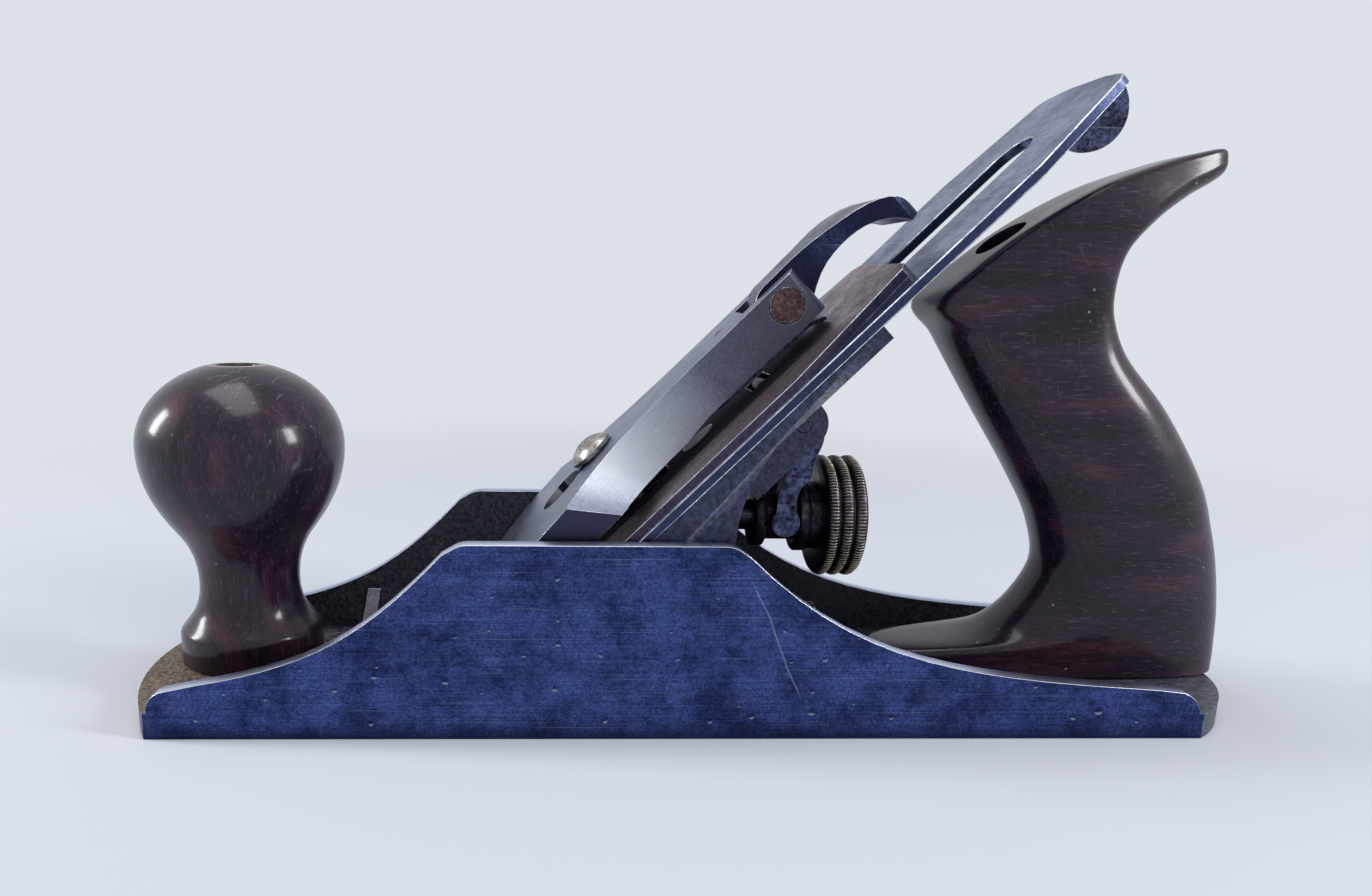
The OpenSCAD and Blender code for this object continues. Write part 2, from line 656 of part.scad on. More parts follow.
// Brass wheel: grooved hub for the yoke and a rim with round ribs
module depth_wheel() {
    rib_p = rim_len / rib_n;
    rib_r = rib_p * 0.46;
    valley = wheel_d / 2 - 1.25;
    color("#6e5a34") translate([0, 0, wheel_z]) rotate([0, 90, 0]) difference() {
        union() {
            translate([0, 0, wheel_x0]) cylinder(h = rim_x1 + 0.6 - wheel_x0, r = core_r);
            translate([0, 0, wheel_x0]) cylinder(h = flange_t, r = inner_flange_r);
            translate([0, 0, lobe_x + groove_w / 2]) cylinder(h = flange_t, r = flange_r);
            translate([0, 0, lobe_x + groove_w / 2 + flange_t - eps]) cylinder(h = hub_len + 2 * eps, r = flange_r - 0.5);
            translate([0, 0, rim_x0]) cylinder(h = rim_len, r = valley);
            for (i = [0 : rib_n - 1])
                translate([0, 0, rim_x0 + rib_p * (i + 0.5)]) rotate_extrude($fn = 72)
                    translate([wheel_d / 2 - rib_r, 0]) circle(r = rib_r, $fn = 20);
        }
        translate([0, 0, wheel_x0 - 1]) cylinder(h = 60, r = stud_d / 2 + pin_gap);
        // Dished outer face
        translate([0, 0, rim_x1 - 1.6]) difference() {
            cylinder(h = 3, r = valley - 1.4);
            translate([0, 0, -1]) cylinder(h = 5, r = core_r);
        }
    }
}

// Forked lever: its tip lifts the cap iron and its two round feet ride in the wheel's groove
module yoke_lever() {
    fork_in = core_r + free_gap;
    fork_w = 2 * fork_half;
    tip = bed_point(yoke_s, yoke_tip_n);
    crook = arc(yoke_x, yoke_z, ear_r + 0.5, -15, -110, 6);
    inner = concat([[lobe_x - 2.05, wheel_z + 2]], bezier([lobe_x - 1.9, wheel_z + 4.6], [lobe_x - 1.6, wheel_z + 9],
        [yoke_x - 1.4, yoke_z - 12], [yoke_x - 1.6, yoke_z - 5.6], 6));
    shoulder = bezier([yoke_x + 5, yoke_z - 2], [yoke_x + 5.3, yoke_z - 4.6],
        [yoke_x + 3.4, yoke_z - 6.6], [yoke_x + 3.2, yoke_z - 9], 5);
    outer = concat(bezier([yoke_x + 3.2, yoke_z - 9], [yoke_x + 3.2, yoke_z - 13.2],
        [lobe_x + 2.2, wheel_z + 9], [lobe_x + 1.9, wheel_z + 4.6], 6), [[lobe_x + 2.05, wheel_z + 2]]);
    color("#46474c") difference() {
        union() {
            // Upper arm that passes through the bed
            across(2 * yoke_t) hull() {
                translate([yoke_x, yoke_z]) circle(r = 3.4);
                translate(tip) circle(r = yoke_tip_r);
            }
            across(2 * yoke_t) polygon(concat([[yoke_x - 0.5, yoke_z], [yoke_x + 2.8, yoke_z]], crook));
            // Bridge below the ears that spreads into two arms
            across(fork_w) polygon(concat(crook, [[yoke_x - 1.5, yoke_z - 7], [yoke_x + 3.4, yoke_z - 6.9]],
                [for (i = [3 : -1 : 0]) shoulder[i]]));
            mirrored() translate([0, fork_in + yoke_t / 2, 0]) across(yoke_t) {
                polygon(concat([for (i = [2 : 4]) shoulder[i]], outer, inner));
                translate([lobe_x, wheel_z]) circle(d = lobe_d);
            }
        }
        cross_pin(yoke_pin_d + 2 * pin_gap, 30, yoke_x, yoke_z);
    }
}

module yoke_pin() {
    color("#6a6b70") cross_pin(yoke_pin_d, 2 * (fork_half + free_gap + rib_t), yoke_x, yoke_z);
}

// Flat lever under the cutter that ends in a round thumb tab turned down at the top
module lateral_lever() {
    tab_s = cutter_top - 3;
    tab_r = 7.8;
    strip = [[roller_s, 2.6], [pivot_s, 5], [pivot_s + 12, 4.4], [tab_s - 8, 3], [tab_s + 4, 2]];
    color("#3b3b3d") along_bed() difference() {
        union() {
            translate([0, 0, lever_n]) linear_extrude(lever_t) {
                translate([pivot_s, 0]) circle(r = 5.6);
                translate([roller_s, 0]) circle(r = 2.6);
                polygon(both_sides(strip));
            }
            intersection() {
                translate([tab_s, lever_t / 2, -2]) rotate([90, 0, 0]) cylinder(h = lever_t, r = tab_r);
                translate([tab_s - 20, -5, -20]) cube([40, 10, 20 + lever_n + lever_t]);
            }
        }
        translate([pivot_s, 0, -10]) cylinder(h = 20, d = pivot_d + 2 * pin_gap);
        translate([roller_s, 0, -10]) cylinder(h = 20, d = roller_rivet_d);
    }
}

module lateral_pivot() {
    color("#6a6b70") along_bed() translate([pivot_s, 0, -4.6]) cylinder(h = 4.6 - free_gap, d = pivot_d);
}

module lateral_roller() {
    color("#7a7b80") along_bed() translate([roller_s, 0, -free_gap + slide_gap]) difference() {
        cylinder(h = roller_t, d = roller_d);
        translate([0, 0, -1]) cylinder(h = 5, d = roller_rivet_d + 2 * pin_gap);
    }
}

module roller_rivet() {
    top_n = -free_gap + slide_gap + roller_t + slide_gap;
    color("#6a6b70") along_bed() translate([roller_s, 0, lever_n]) {
        cylinder(h = top_n - lever_n + eps, d = roller_rivet_d);
        translate([0, 0, top_n - lever_n]) cylinder(h = 0.3, d = roller_rivet_d + 1);
    }
}

module cutter() {
    round_r = 4;
    tw = cutter_top_w / 2;
    edge_n = cap_iron_n;
    plan = concat([[edge_s, cutter_w / 2], [cutter_top - cutter_taper, cutter_w / 2]],
        arc(cutter_top - round_r - 1, tw - round_r, round_r, 78, 10, 5), [[cutter_top, tw * 0.4]]);
    color("#7d8187") along_bed() difference() {
        intersection() {
            translate([0, 0, cutter_n]) linear_extrude(cutter_t) polygon(both_sides(plan));
            across(cutter_w + 2) polygon([[edge_s, edge_n], [edge_s + cutter_t / tan(bevel), cutter_n],
                [cutter_top + 1, cutter_n], [cutter_top + 1, edge_n]]);
        }
        // Slot with a round top, and the keyhole at its lower end
        translate([40, -slot_w / 2, -1]) cube([slot_top - slot_w / 2 - 40, slot_w, cutter_t + 2]);
        translate([slot_top - slot_w / 2, 0, -1]) cylinder(h = cutter_t + 2, d = slot_w);
        translate([40, 0, -1]) cylinder(h = cutter_t + 2, d = iron_screw_head + 3);
    }
}

// Rise of the hump of the cap iron, a place u along it
function hump(u) = hump_h * pow(sin(180 * pow(u, 0.62)), 1.3);

module cap_iron() {
    n = 12;
    under = [for (i = [1 : n]) [cap_iron_s0 + hump_len * i / n, cap_iron_n + hump(i / n) * min(1, 0.35 + i / 5)]];
    over = [for (i = [0 : n]) [cap_iron_s0 + hump_len * i / n, cap_iron_n + cap_iron_t * min(1, 0.12 + i / 2.5) + hump(i / n)]];
    end = cap_iron_s1;
    plan = [[cap_iron_s0 - 1, cutter_w / 2], [end - 30, cutter_w / 2], [end - 1.5, 15.5], [end, 13]];
    hole_s = cap_screw_s - 5;
    color("#6b5348") along_bed() difference() {
        intersection() {
            across(cutter_w) polygon(concat(over, [[end, cap_iron_top], [end, cap_iron_n]], reverse(under), [[cap_iron_s0, cap_iron_n]]));
            linear_extrude(20) polygon(both_sides(plan));
        }
        // Long hole for the lever cap screw
        translate([hole_s + 4, 0, 0]) long_hole(12, 4, 12);
        // Slot for the tip of the yoke
        translate([yoke_s - yoke_tip_r - 2 * free_gap, -yoke_t - 2 * free_gap, 0])
            cube([2 * yoke_tip_r + 4 * free_gap, 2 * yoke_t + 4 * free_gap, 12]);
        // Thread for its screw
        translate([iron_screw_s, 0, 0]) cylinder(h = 12, d = iron_screw_d + 2 * pin_gap);
    }
}

module cap_iron_screw() {
    color("#6a6b70") along_bed() translate([iron_screw_s, 0, 0]) difference() {
        union() {
            translate([0, 0, -iron_screw_head_t]) cylinder(h = iron_screw_head_t, d = iron_screw_head);
            translate([0, 0, -eps]) cylinder(h = cap_iron_top + eps, d = iron_screw_d);
        }
        translate([-10, -slot_cut / 2, -iron_screw_head_t - 1]) cube([20, slot_cut, 2.4]);
    }
}

// Upper face of the lever cap, seen from the side: a long hollow sweep from the lip to the neck
function cap_sweep(sink) =
    [for (p = bezier([cap_s0, lip_n + 1.4], [cap_s0 + 10, lip_n + 7.2], [cap_s0 + 24, cap_top - 1.1],
        [cap_s0 + 54, cap_top], 10)) [p[0], p[1] - sink]];

module cap_side() {
    polygon(concat([[cap_s0, lip_n]], cap_sweep(0), [[cap_s1, cap_top], [cap_s1, cap_n],
        [cap_s1 - 18, cap_n + 0.3], [cap_s0 + 69, cap_n + 0.3], [cap_s0 + 62, cap_n - 0.4],
        [cap_s0 + 50, cap_n + 0.1], [cap_s0 + 40, cap_n + 0.8], [cap_s0 + 5, lip_n]]));
}

// The hollow follows the upper face from just behind the lip to the ears of the cam
module cap_hollow_side() {
    roof = cap_sweep(cap_wall);
    polygon(concat([[roof[4][0], 0]], [for (i = [4 : 10]) roof[i]],
        [[cam_s - 16, cap_top - cap_wall], [cam_s - 16, 0]]));
}

module cap_plan(inset) {
    lw = cap_low_w / 2 - inset;
    nw = cap_neck_w / 2 - inset;
    turn = lw - nw;
    flare = bezier([cap_s0 + 40, lw], [cap_s0 + 47, lw - 0.64 * turn], [cap_s0 + 55, nw + 0.06 * turn], [cap_s0 + 73, nw], 10);
    polygon(both_sides(concat([[cap_s0 + inset, lw]], flare, arc(cap_s1 - 2.6, nw - 2.6, 2.6, 90, 0, 4))));
}

module lever_cap() {
    cam_space = cam_r + cam_offset + 2 * free_gap;
    color("#8a8d90") along_bed() difference() {
        intersection() {
            across(cap_low_w) cap_side();
            linear_extrude(30) cap_plan(0);
        }
        intersection() {
            across(cap_low_w) cap_hollow_side();
            linear_extrude(30) cap_plan(cap_wall);
        }
        // Keyhole: wide below, narrow above
        translate([cap_screw_s - key_travel, 0, -1]) cylinder(h = 30, d = cap_screw_head + 1.4);
        translate([cap_screw_s - key_travel, -cap_screw_d / 2 - free_gap, -1])
            cube([key_travel, cap_screw_d + 2 * free_gap, 31]);
        translate([cap_screw_s, 0, -1]) cylinder(h = 30, d = cap_screw_d + 2 * free_gap);
        // Gap between the ears for the cam, and the bore of its pin
        translate([cam_s - cam_space, -cam_hub_w / 2 - free_gap, -1]) cube([30, cam_hub_w + 2 * free_gap, 31]);
        cross_pin(cam_pin_d, 40, cam_s, cam_n);
        translate([cam_s - 12, 0, -1]) cylinder(h = 30, d = rivet_d + 2 * eps);
    }
}

module lever_cap_screw() {
    head_n = cap_top + free_gap;
    color("#9a9a9c") along_bed() translate([cap_screw_s, 0, 0]) difference() {
        union() {
            translate([0, 0, -cap_screw_deep]) cylinder(h = head_n + cap_screw_deep + eps, d = cap_screw_d);
            intersection() {
                translate([0, 0, head_n]) cylinder(h = 3, d = cap_screw_head);
                translate([0, 0, head_n - 3.4]) sphere(r = 6.4);
            }
        }
        translate([-8, -slot_cut / 2, head_n + 1.6]) cube([16, slot_cut, 4]);
    }
}

// Flat spring riveted under the neck, where the cam presses it down on the cap iron
module cap_spring() {
    flat_n = cap_n - 0.2;
    cam_low = cam_n - cam_offset - cam_r - slide_gap;
    top = [[cam_s - 25, flat_n + 0.2], [cam_s - 19, flat_n], [cam_s - 8, flat_n], [cam_s - 2, cam_low],
        [cam_s + 1, cam_low], [cam_s + 4.6, cap_iron_top + 1.2]];
    color("#4c4d52") along_bed() difference() {
        across(10) polygon(concat(top, [for (p = reverse(top)) [p[0], p[1] - 0.8]]));
        translate([cam_s - 12, 0, 0]) cylinder(h = 30, d = rivet_d + 2 * eps);
    }
}

module spring_rivet() {
    color("#8a8d90") along_bed() translate([cam_s - 12, 0, cap_n - 1.6]) {
        cylinder(h = cap_t + 1.6, d = rivet_d);
        cylinder(h = 0.55, d = rivet_d + 2);
    }
}

module cam_pin() {
    color("#5d463f") along_bed() cross_pin(cam_pin_d - 2 * pin_gap, cap_neck_w + 0.4, cam_s, cam_n);
}

// Cam lever: round cam on the pin and a curved thumb piece that widens and hooks down
module cam_lever() {
    r = cam_reach;
    hub_top = cam_n - cam_offset + cam_r;
    up = bezier([cam_s - 1, hub_top - 0.1], [cam_s + r * 0.5, hub_top + 0.5],
        [cam_s + r * 1.02, hub_top + 0.3], [cam_s + r, hub_top - 10], 14);
    down = bezier([cam_s + r - 2.6, hub_top - 10], [cam_s + r * 0.78, hub_top - 3.6],
        [cam_s + r * 0.5, hub_top - 1.2], [cam_s + r * 0.18, hub_top - 8.6], 14);
    blade = bezier([cap_s1 + 0.8, cam_hub_w / 2], [cam_s + r * 0.46, cam_hub_w / 2 + 0.4],
        [cam_s + r * 0.46, cam_w / 2], [cam_s + r * 0.74, cam_w / 2], 6);
    plan = concat([[cam_s - 8, cam_hub_w / 2]], blade, arc(cam_s + r - 4, cam_w / 2 - 4, 4, 90, 0, 4));
    color("#3a3b3f") along_bed() difference() {
        union() {
            cross_pin(2 * cam_r, cam_hub_w, cam_s, cam_n - cam_offset);
            intersection() {
                across(cam_w) polygon(concat(up, down));
                linear_extrude(60) polygon(both_sides(plan));
            }
        }
        cross_pin(cam_pin_d, 40, cam_s, cam_n);
    }
}

base_casting();
front_knob();
knob_stud();
knob_nut();
rear_handle();
handle_stud();
handle_nut();
frog();
frog_screws();
frog_washers();
frog_fork();
frog_fork_screw();
frog_adjusting_screw();
depth_stud();
depth_wheel();
yoke_lever();
yoke_pin();
lateral_lever();
lateral_pivot();
lateral_roller();
roller_rivet();
cutter();
cap_iron();
cap_iron_screw();
lever_cap();
lever_cap_screw();
cap_spring();
spring_rivet();
cam_pin();
cam_lever();
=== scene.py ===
# %% [markdown]
# # A smoothing plane, finished piece by piece
# The plane is an iron bed with two rosewood handles. A steel iron lies on a sloping casting, the
# frog, and is clamped by a lever cap with a cam. This lesson takes each exact piece from the
# construction, softens its edges as use has done, and gives it the surface of its metal or wood.
# %% Load the construction
import json
import math
import bmesh
import bpy
from mathutils import Matrix, Vector

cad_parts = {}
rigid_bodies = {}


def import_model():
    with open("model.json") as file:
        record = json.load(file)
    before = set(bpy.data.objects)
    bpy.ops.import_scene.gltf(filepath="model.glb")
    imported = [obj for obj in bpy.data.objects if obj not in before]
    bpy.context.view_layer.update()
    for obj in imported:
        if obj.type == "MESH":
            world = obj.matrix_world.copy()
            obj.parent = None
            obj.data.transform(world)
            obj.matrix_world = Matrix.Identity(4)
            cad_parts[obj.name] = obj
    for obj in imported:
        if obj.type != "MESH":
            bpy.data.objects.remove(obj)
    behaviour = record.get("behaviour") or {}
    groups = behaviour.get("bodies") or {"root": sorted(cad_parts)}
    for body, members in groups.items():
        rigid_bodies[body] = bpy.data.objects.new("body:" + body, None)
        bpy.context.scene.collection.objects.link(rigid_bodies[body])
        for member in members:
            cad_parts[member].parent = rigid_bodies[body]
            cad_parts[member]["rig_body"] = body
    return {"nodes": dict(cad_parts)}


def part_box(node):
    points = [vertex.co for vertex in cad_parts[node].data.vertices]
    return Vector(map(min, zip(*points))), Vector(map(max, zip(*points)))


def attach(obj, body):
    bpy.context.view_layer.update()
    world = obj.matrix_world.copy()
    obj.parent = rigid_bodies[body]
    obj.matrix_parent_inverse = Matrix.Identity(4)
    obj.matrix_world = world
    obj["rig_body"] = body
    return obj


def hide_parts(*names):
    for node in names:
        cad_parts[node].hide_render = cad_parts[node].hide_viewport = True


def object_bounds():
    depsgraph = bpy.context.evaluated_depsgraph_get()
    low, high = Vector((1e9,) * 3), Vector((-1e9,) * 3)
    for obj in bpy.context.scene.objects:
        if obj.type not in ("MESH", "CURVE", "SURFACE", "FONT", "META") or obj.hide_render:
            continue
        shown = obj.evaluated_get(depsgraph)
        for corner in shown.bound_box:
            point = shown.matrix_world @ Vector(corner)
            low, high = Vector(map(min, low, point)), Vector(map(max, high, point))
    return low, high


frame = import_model()
scene = bpy.context.scene
cad_low, cad_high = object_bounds()
print("CAD box, mm:", [round(1000 * (high - low), 1) for low, high in zip(cad_low, cad_high)])

# %% [markdown]
# Blender works in metres, while a plane maker thinks in millimetres. Lengths are written in
# millimetres and turned once, by one value. Colours are written as the hex values that a colour
# picker shows, and one function turns them to the linear values that the renderer works in.
# %% Units, colours and the node helper
MM = 0.001


def linear(hex_colour):
    """An sRGB hex colour as linear red, green, blue and alpha."""
    channels = [int(hex_colour[i:i + 2], 16) / 255 for i in (1, 3, 5)]
    return [c / 12.92 if c <= 0.04045 else ((c + 0.055) / 1.055) ** 2.4 for c in channels] + [1.0]


def out(source):
    """A node stands for its first output, and an output for itself."""
    return source.outputs[0] if hasattr(source, "outputs") else source


def add(tree, kind, values=None, links=None, **settings):
    """Adds one node: settings are its properties, values fill its sockets and links join them."""
    made = tree.nodes.new(kind)
    for name, value in settings.items():
        setattr(made, name, value)
    for socket, value in (values or {}).items():
        made.inputs[socket].default_value = value
    for socket, source in (links or {}).items():
        tree.links.new(out(source), made.inputs[socket])
    return made


def place_object(name, data):
    """A new object in the scene."""
    made = bpy.data.objects.new(name, data)
    scene.collection.objects.link(made)
    return made


print("one millimetre is", MM, "m")

# %% [markdown]
# Every surface is built from the same few steps. Noise of a real size is uneven, a ramp turns it
# into a mask, maths joins masks, and a tint lays one colour over another where the mask is bright.
# With a short name for each step, a recipe reads from the bare surface outwards.
# %% Steps that every surface is built from
def maths(tree, operation, *terms):
    """A maths node, or a row of them for more than two terms, which are numbers or sources."""
    if len(terms) > 2:
        terms = (maths(tree, operation, *terms[:-1]), terms[-1])
    numbers = {i: term for i, term in enumerate(terms) if isinstance(term, (int, float))}
    sources = {i: term for i, term in enumerate(terms) if i not in numbers}
    return add(tree, "ShaderNodeMath", numbers, sources, operation=operation)


def ramp(tree, source, start, end, low=0.0, high=1.0):
    """Turns start into low and end into high, and holds both beyond."""
    ends = {"From Min": start, "From Max": end, "To Min": low, "To Max": high}
    return add(tree, "ShaderNodeMapRange", ends, {"Value": source})


def tint(tree, share, under, over, way="MIX"):
    """Lays one colour over another by a share. A colour is a hex value or a source."""
    values, links = {}, {}
    for name, term in (("Factor", share), ("A", under), ("B", over)):
        if isinstance(term, str):
            values[name] = linear(term)
        elif isinstance(term, float):
            values[name] = term
        else:
            links[name] = term
    mixed = add(tree, "ShaderNodeMix", values, links, data_type="RGBA", blend_type=way)
    return mixed.outputs["Result"]


def noise(tree, place, size, detail, roughness=0.5, distortion=0.0):
    """Noise with lumps of about this size."""
    values = {"Scale": 1 / size, "Detail": detail, "Roughness": roughness, "Distortion": distortion}
    return add(tree, "ShaderNodeTexNoise", values, {"Vector": place})


def axes(tree, vector):
    """The X, Y and Z outputs of a vector."""
    return add(tree, "ShaderNodeSeparateXYZ", links={0: vector}).outputs


def facing(tree):
    """The X, Y and Z outputs of the direction that the surface faces."""
    return axes(tree, add(tree, "ShaderNodeNewGeometry").outputs["Normal"])


def new_material(name):
    """An empty material, its node tree, and the place on the piece that patterns start from."""
    material = bpy.data.materials.new(name)
    material.use_nodes = True
    material.node_tree.nodes.clear()
    place = add(material.node_tree, "ShaderNodeTexCoord").outputs["Object"]
    return material, material.node_tree, place


def reopen(material):
    """The node tree, the shader and the place of a material that is made already."""
    found = {node.type: node for node in material.node_tree.nodes}
    return material.node_tree, found["BSDF_PRINCIPLED"], found["TEX_COORD"].outputs["Object"]


print("steps:", [step.__name__ for step in (noise, ramp, maths, tint)])

# %% [markdown]
# The photograph was taken from close by, a little above the cheeks and a hand's width in front of
# them. Camera place, turn and lens come from solving its perspective on the sole, cheeks and blade.
# The optical axis doesn't pass through the middle of the frame, which the two shifts allow for.
# %% Camera at the photograph's angle
PHOTO_W, PHOTO_H = 1372, 896
FOCAL_PX = 1025.4
AXIS_PX = (569.9, 535.1)
CAMERA_AT = Vector((-29.27, -208.56, 84.82)) * MM
CAMERA_YAW = math.radians(2.21)
CAMERA_PITCH = math.radians(13.776)
CAMERA_ROLL = math.radians(0.883)


def camera_turn(yaw, pitch, roll):
    """Turn of a camera that looks along +Y, yawed to +X, pitched down and rolled."""
    level = Vector((math.cos(yaw), -math.sin(yaw), 0))
    ahead = Vector((math.sin(yaw), math.cos(yaw), 0))
    forward = ahead * math.cos(pitch) - Vector((0, 0, math.sin(pitch)))
    upright = level.cross(forward)
    right = level * math.cos(roll) + upright * math.sin(roll)
    up = upright * math.cos(roll) - level * math.sin(roll)
    return Matrix((right, up, -forward)).transposed().to_4x4()


camera_data = bpy.data.cameras.new("photo_camera")
camera_data.sensor_width = 36
camera_data.lens = FOCAL_PX * camera_data.sensor_width / PHOTO_W
camera_data.shift_x = (PHOTO_W / 2 - AXIS_PX[0]) / PHOTO_W
camera_data.shift_y = (AXIS_PX[1] - PHOTO_H / 2) / PHOTO_W
camera_data.clip_start = 0.01
camera = place_object("photo_camera", camera_data)
camera.matrix_world = (Matrix.Translation(CAMERA_AT)
                       @ camera_turn(CAMERA_YAW, CAMERA_PITCH, CAMERA_ROLL))
scene.camera = camera
scene.view_settings.view_transform = "Standard"
print("lens, mm:", round(camera_data.lens, 2))

# %% [markdown]
# Old tools are photographed in a light tent. Three broad lamps stand left, right and overhead, and
# the polished knob shows each as a pale window. The floor is a matte sheet that the plane's shadow
# falls on. Far from the plane it fades into the backdrop, so that no horizon cuts through the
# picture, and metal mirrors the same pale backdrop that the camera sees.
# %% Floor, lamps and world
BACKDROP = linear("#dde1e8")
LAMPS_AIM = Vector((0, 0, 0.03))
FADE_FROM, FADE_TO = 0.16, 0.5
SHEET_HALF = 6.0


def soft_lamp(name, at, wide, tall, power):
    """A window-shaped area lamp, in metres and watts, that faces the plane."""
    data = bpy.data.lights.new(name, "AREA")
    data.shape = "RECTANGLE"
    data.size = wide
    data.size_y = tall
    data.energy = power
    lamp = place_object(name, data)
    lamp.location = at
    lamp.rotation_euler = (LAMPS_AIM - Vector(at)).to_track_quat("-Z", "Y").to_euler()


def shows_backdrop(tree):
    """One for rays that come from the camera, a mirror or glass, and nought for other light."""
    rays = add(tree, "ShaderNodeLightPath").outputs
    return maths(tree, "MAXIMUM",
                 rays["Is Camera Ray"], rays["Is Glossy Ray"], rays["Is Transmission Ray"])


soft_lamp("window_left", (-0.84, 0.10, 0.36), 0.16, 0.32, 3.7)
soft_lamp("window_right", (0.72, -0.26, 0.38), 0.16, 0.32, 3.7)
soft_lamp("overhead", (-0.10, -0.07, 0.92), 0.80, 0.42, 3.8)

world = bpy.data.worlds.new("light_tent")
world.use_nodes = True
scene.world = world
sky = world.node_tree
sky.nodes.clear()
tent = add(sky, "ShaderNodeBackground", {"Color": linear("#ccd3df"), "Strength": 0.42})
backdrop = add(sky, "ShaderNodeBackground", {"Color": BACKDROP})
seen = add(sky, "ShaderNodeMixShader", links={0: shows_backdrop(sky), 1: tent, 2: backdrop})
add(sky, "ShaderNodeOutputWorld", links={"Surface": seen})

paper, sheet, sheet_place = new_material("matte_paper")
from_middle = add(sheet, "ShaderNodeVectorMath", links={0: sheet_place}, operation="LENGTH")
fade = add(sheet, "ShaderNodeMapRange", {"From Min": FADE_FROM, "From Max": FADE_TO},
           {"Value": from_middle.outputs["Value"]}, interpolation_type="SMOOTHSTEP")
faded = maths(sheet, "MULTIPLY", fade, shows_backdrop(sheet))
near_paper = add(sheet, "ShaderNodeBsdfPrincipled",
                 {"Base Color": linear("#d6dae2"), "Roughness": 0.85})
far_paper = add(sheet, "ShaderNodeEmission", {"Color": BACKDROP})
both_papers = add(sheet, "ShaderNodeMixShader", links={0: faded, 1: near_paper, 2: far_paper})
add(sheet, "ShaderNodeOutputMaterial", links={"Surface": both_papers})

floor_mesh = bpy.data.meshes.new("floor")
floor_bm = bmesh.new()
bmesh.ops.create_grid(floor_bm, x_segments=2, y_segments=2, size=SHEET_HALF)
floor_bm.to_mesh(floor_mesh)
floor_bm.free()
floor_mesh.materials.append(paper)
floor = place_object("floor", floor_mesh)
floor.location.z = cad_low.z - 0.05 * MM

# %% [markdown]
# Bare steel and iron age the same way, so one recipe serves them all with other numbers. Grinding
# or filing leaves fine lines in one direction, which are stretched noise. Patina settles in cloudy
# patches over a fine mottle, pits stay dark, and hair-thin scratches run along the grinding.
# %% Recipe for worn metal
def metal_surface(name, base, patina, bright, rough=0.36, turn=(0, 0, 0), line_mm=(30, 30, 0.6),
                  patina_mm=14, grain_mm=0.9, mottle=0.5, lines=0.4, scratch=0.3, pits=0.4,
                  side_shade=None):
    """A worn metal. line_mm is the length of its grinding marks along the turned X, Y and Z.
    The faces to the left and right are darkened by a painted shade of the given side colour, if one
    is given."""
    material, tree, place = new_material(name)
    turned = add(tree, "ShaderNodeMapping", {"Rotation": turn}, {"Vector": place})
    stretch = [1 / (length * MM) for length in line_mm]
    stretched = add(tree, "ShaderNodeMapping", {"Scale": stretch}, {"Vector": turned})
    grinding = noise(tree, stretched, 1.0, 4.0, 0.7)
    hairs = noise(tree, stretched, 1 / 1.2, 1.0)
    clouds = noise(tree, place, patina_mm * MM, 9.0, 0.78)
    # The grain of the casting or of old rust. Pits lie where it is highest
    grains = noise(tree, place, grain_mm * MM, 3.0, 0.65)
    skin = tint(tree, ramp(tree, clouds, 0.42, 0.6), base, patina)
    skin = tint(tree, mottle, skin, ramp(tree, grains, 0.34, 0.66), "SOFT_LIGHT")
    skin = tint(tree, lines, skin, ramp(tree, grinding, 0.3, 0.7), "SOFT_LIGHT")
    skin = tint(tree, ramp(tree, grains, 0.66, 0.76, high=pits), skin, "#0e0c0c")
    skin = tint(tree, ramp(tree, hairs, 0.68, 0.8, high=scratch), skin, bright)
    # Painted shade: faces that look to the left or right take the darker side colour
    if side_shade:
        sideways = maths(tree, "ABSOLUTE", facing(tree)["Y"])
        skin = tint(tree, ramp(tree, sideways, 0.9, 0.97, high=0.85), skin, side_shade)
    dulled = ramp(tree, clouds, 0.35, 0.7, rough - 0.08, rough + 0.14)
    relief = maths(tree, "ADD", grinding, grains)
    bump = add(tree, "ShaderNodeBump", {"Strength": 0.2, "Distance": 0.12 * MM},
               {"Height": relief})
    shader = add(tree, "ShaderNodeBsdfPrincipled", {"Metallic": 1.0},
                 {"Base Color": skin, "Roughness": dulled, "Normal": bump})
    add(tree, "ShaderNodeOutputMaterial", links={"Surface": shader})
    return material


# The cutter, cap iron and lever cap lie along the bed, so their grinding marks are turned with it
BED_TURN = (0, math.radians(45), 0)
# Ground tool steel: pale grey with marks across the blade, and painted shade on its long side faces
cutter_steel = metal_surface(
    "ground_tool_steel", "#717b9a", "#4f5774", "#d8dce8", rough=0.3, turn=BED_TURN,
    line_mm=(0.6, 40, 0.6), mottle=0.35, lines=0.25, side_shade="#262b4a")
# Spring steel that has browned in thin, freckled rust, with painted shade on its side faces
cap_iron_steel = metal_surface(
    "browned_spring_steel", "#8f8083", "#6c5f64", "#d6cfd4", rough=0.42, turn=BED_TURN,
    line_mm=(30, 1.0, 0.7), patina_mm=7, grain_mm=0.7, mottle=0.6, lines=0.2, side_shade="#2b2a46")
# Filed iron, a satin grey that files and thumbs left even
lever_cap_iron = metal_surface(
    "filed_lever_cap_iron", "#7d8398", "#707688", "#dfe3ec", rough=0.38, turn=BED_TURN,
    line_mm=(20, 20, 0.5), patina_mm=30, grain_mm=0.6, mottle=0.3, lines=0.12, scratch=0.12,
    pits=0.15)
# The same iron, darkened by oily thumbs, with painted shade on its side faces
cam_iron = metal_surface(
    "oiled_cam_iron", "#3d4668", "#292d44", "#a3abc2", rough=0.32, grain_mm=0.7, mottle=0.4,
    lines=0.15, side_shade="#212338")
# Blackened steel of the small levers: mottled black and grey
black_steel = metal_surface(
    "blackened_steel", "#4b506e", "#292a3a", "#9ba1b6", rough=0.42, patina_mm=4, grain_mm=0.8,
    mottle=0.8, lines=0.15, pits=0.6)
# Screws, studs and washers that have dulled
dull_steel = metal_surface(
    "dulled_screw_steel", "#484a5a", "#2a2934", "#a2a5b0", rough=0.4, patina_mm=5)
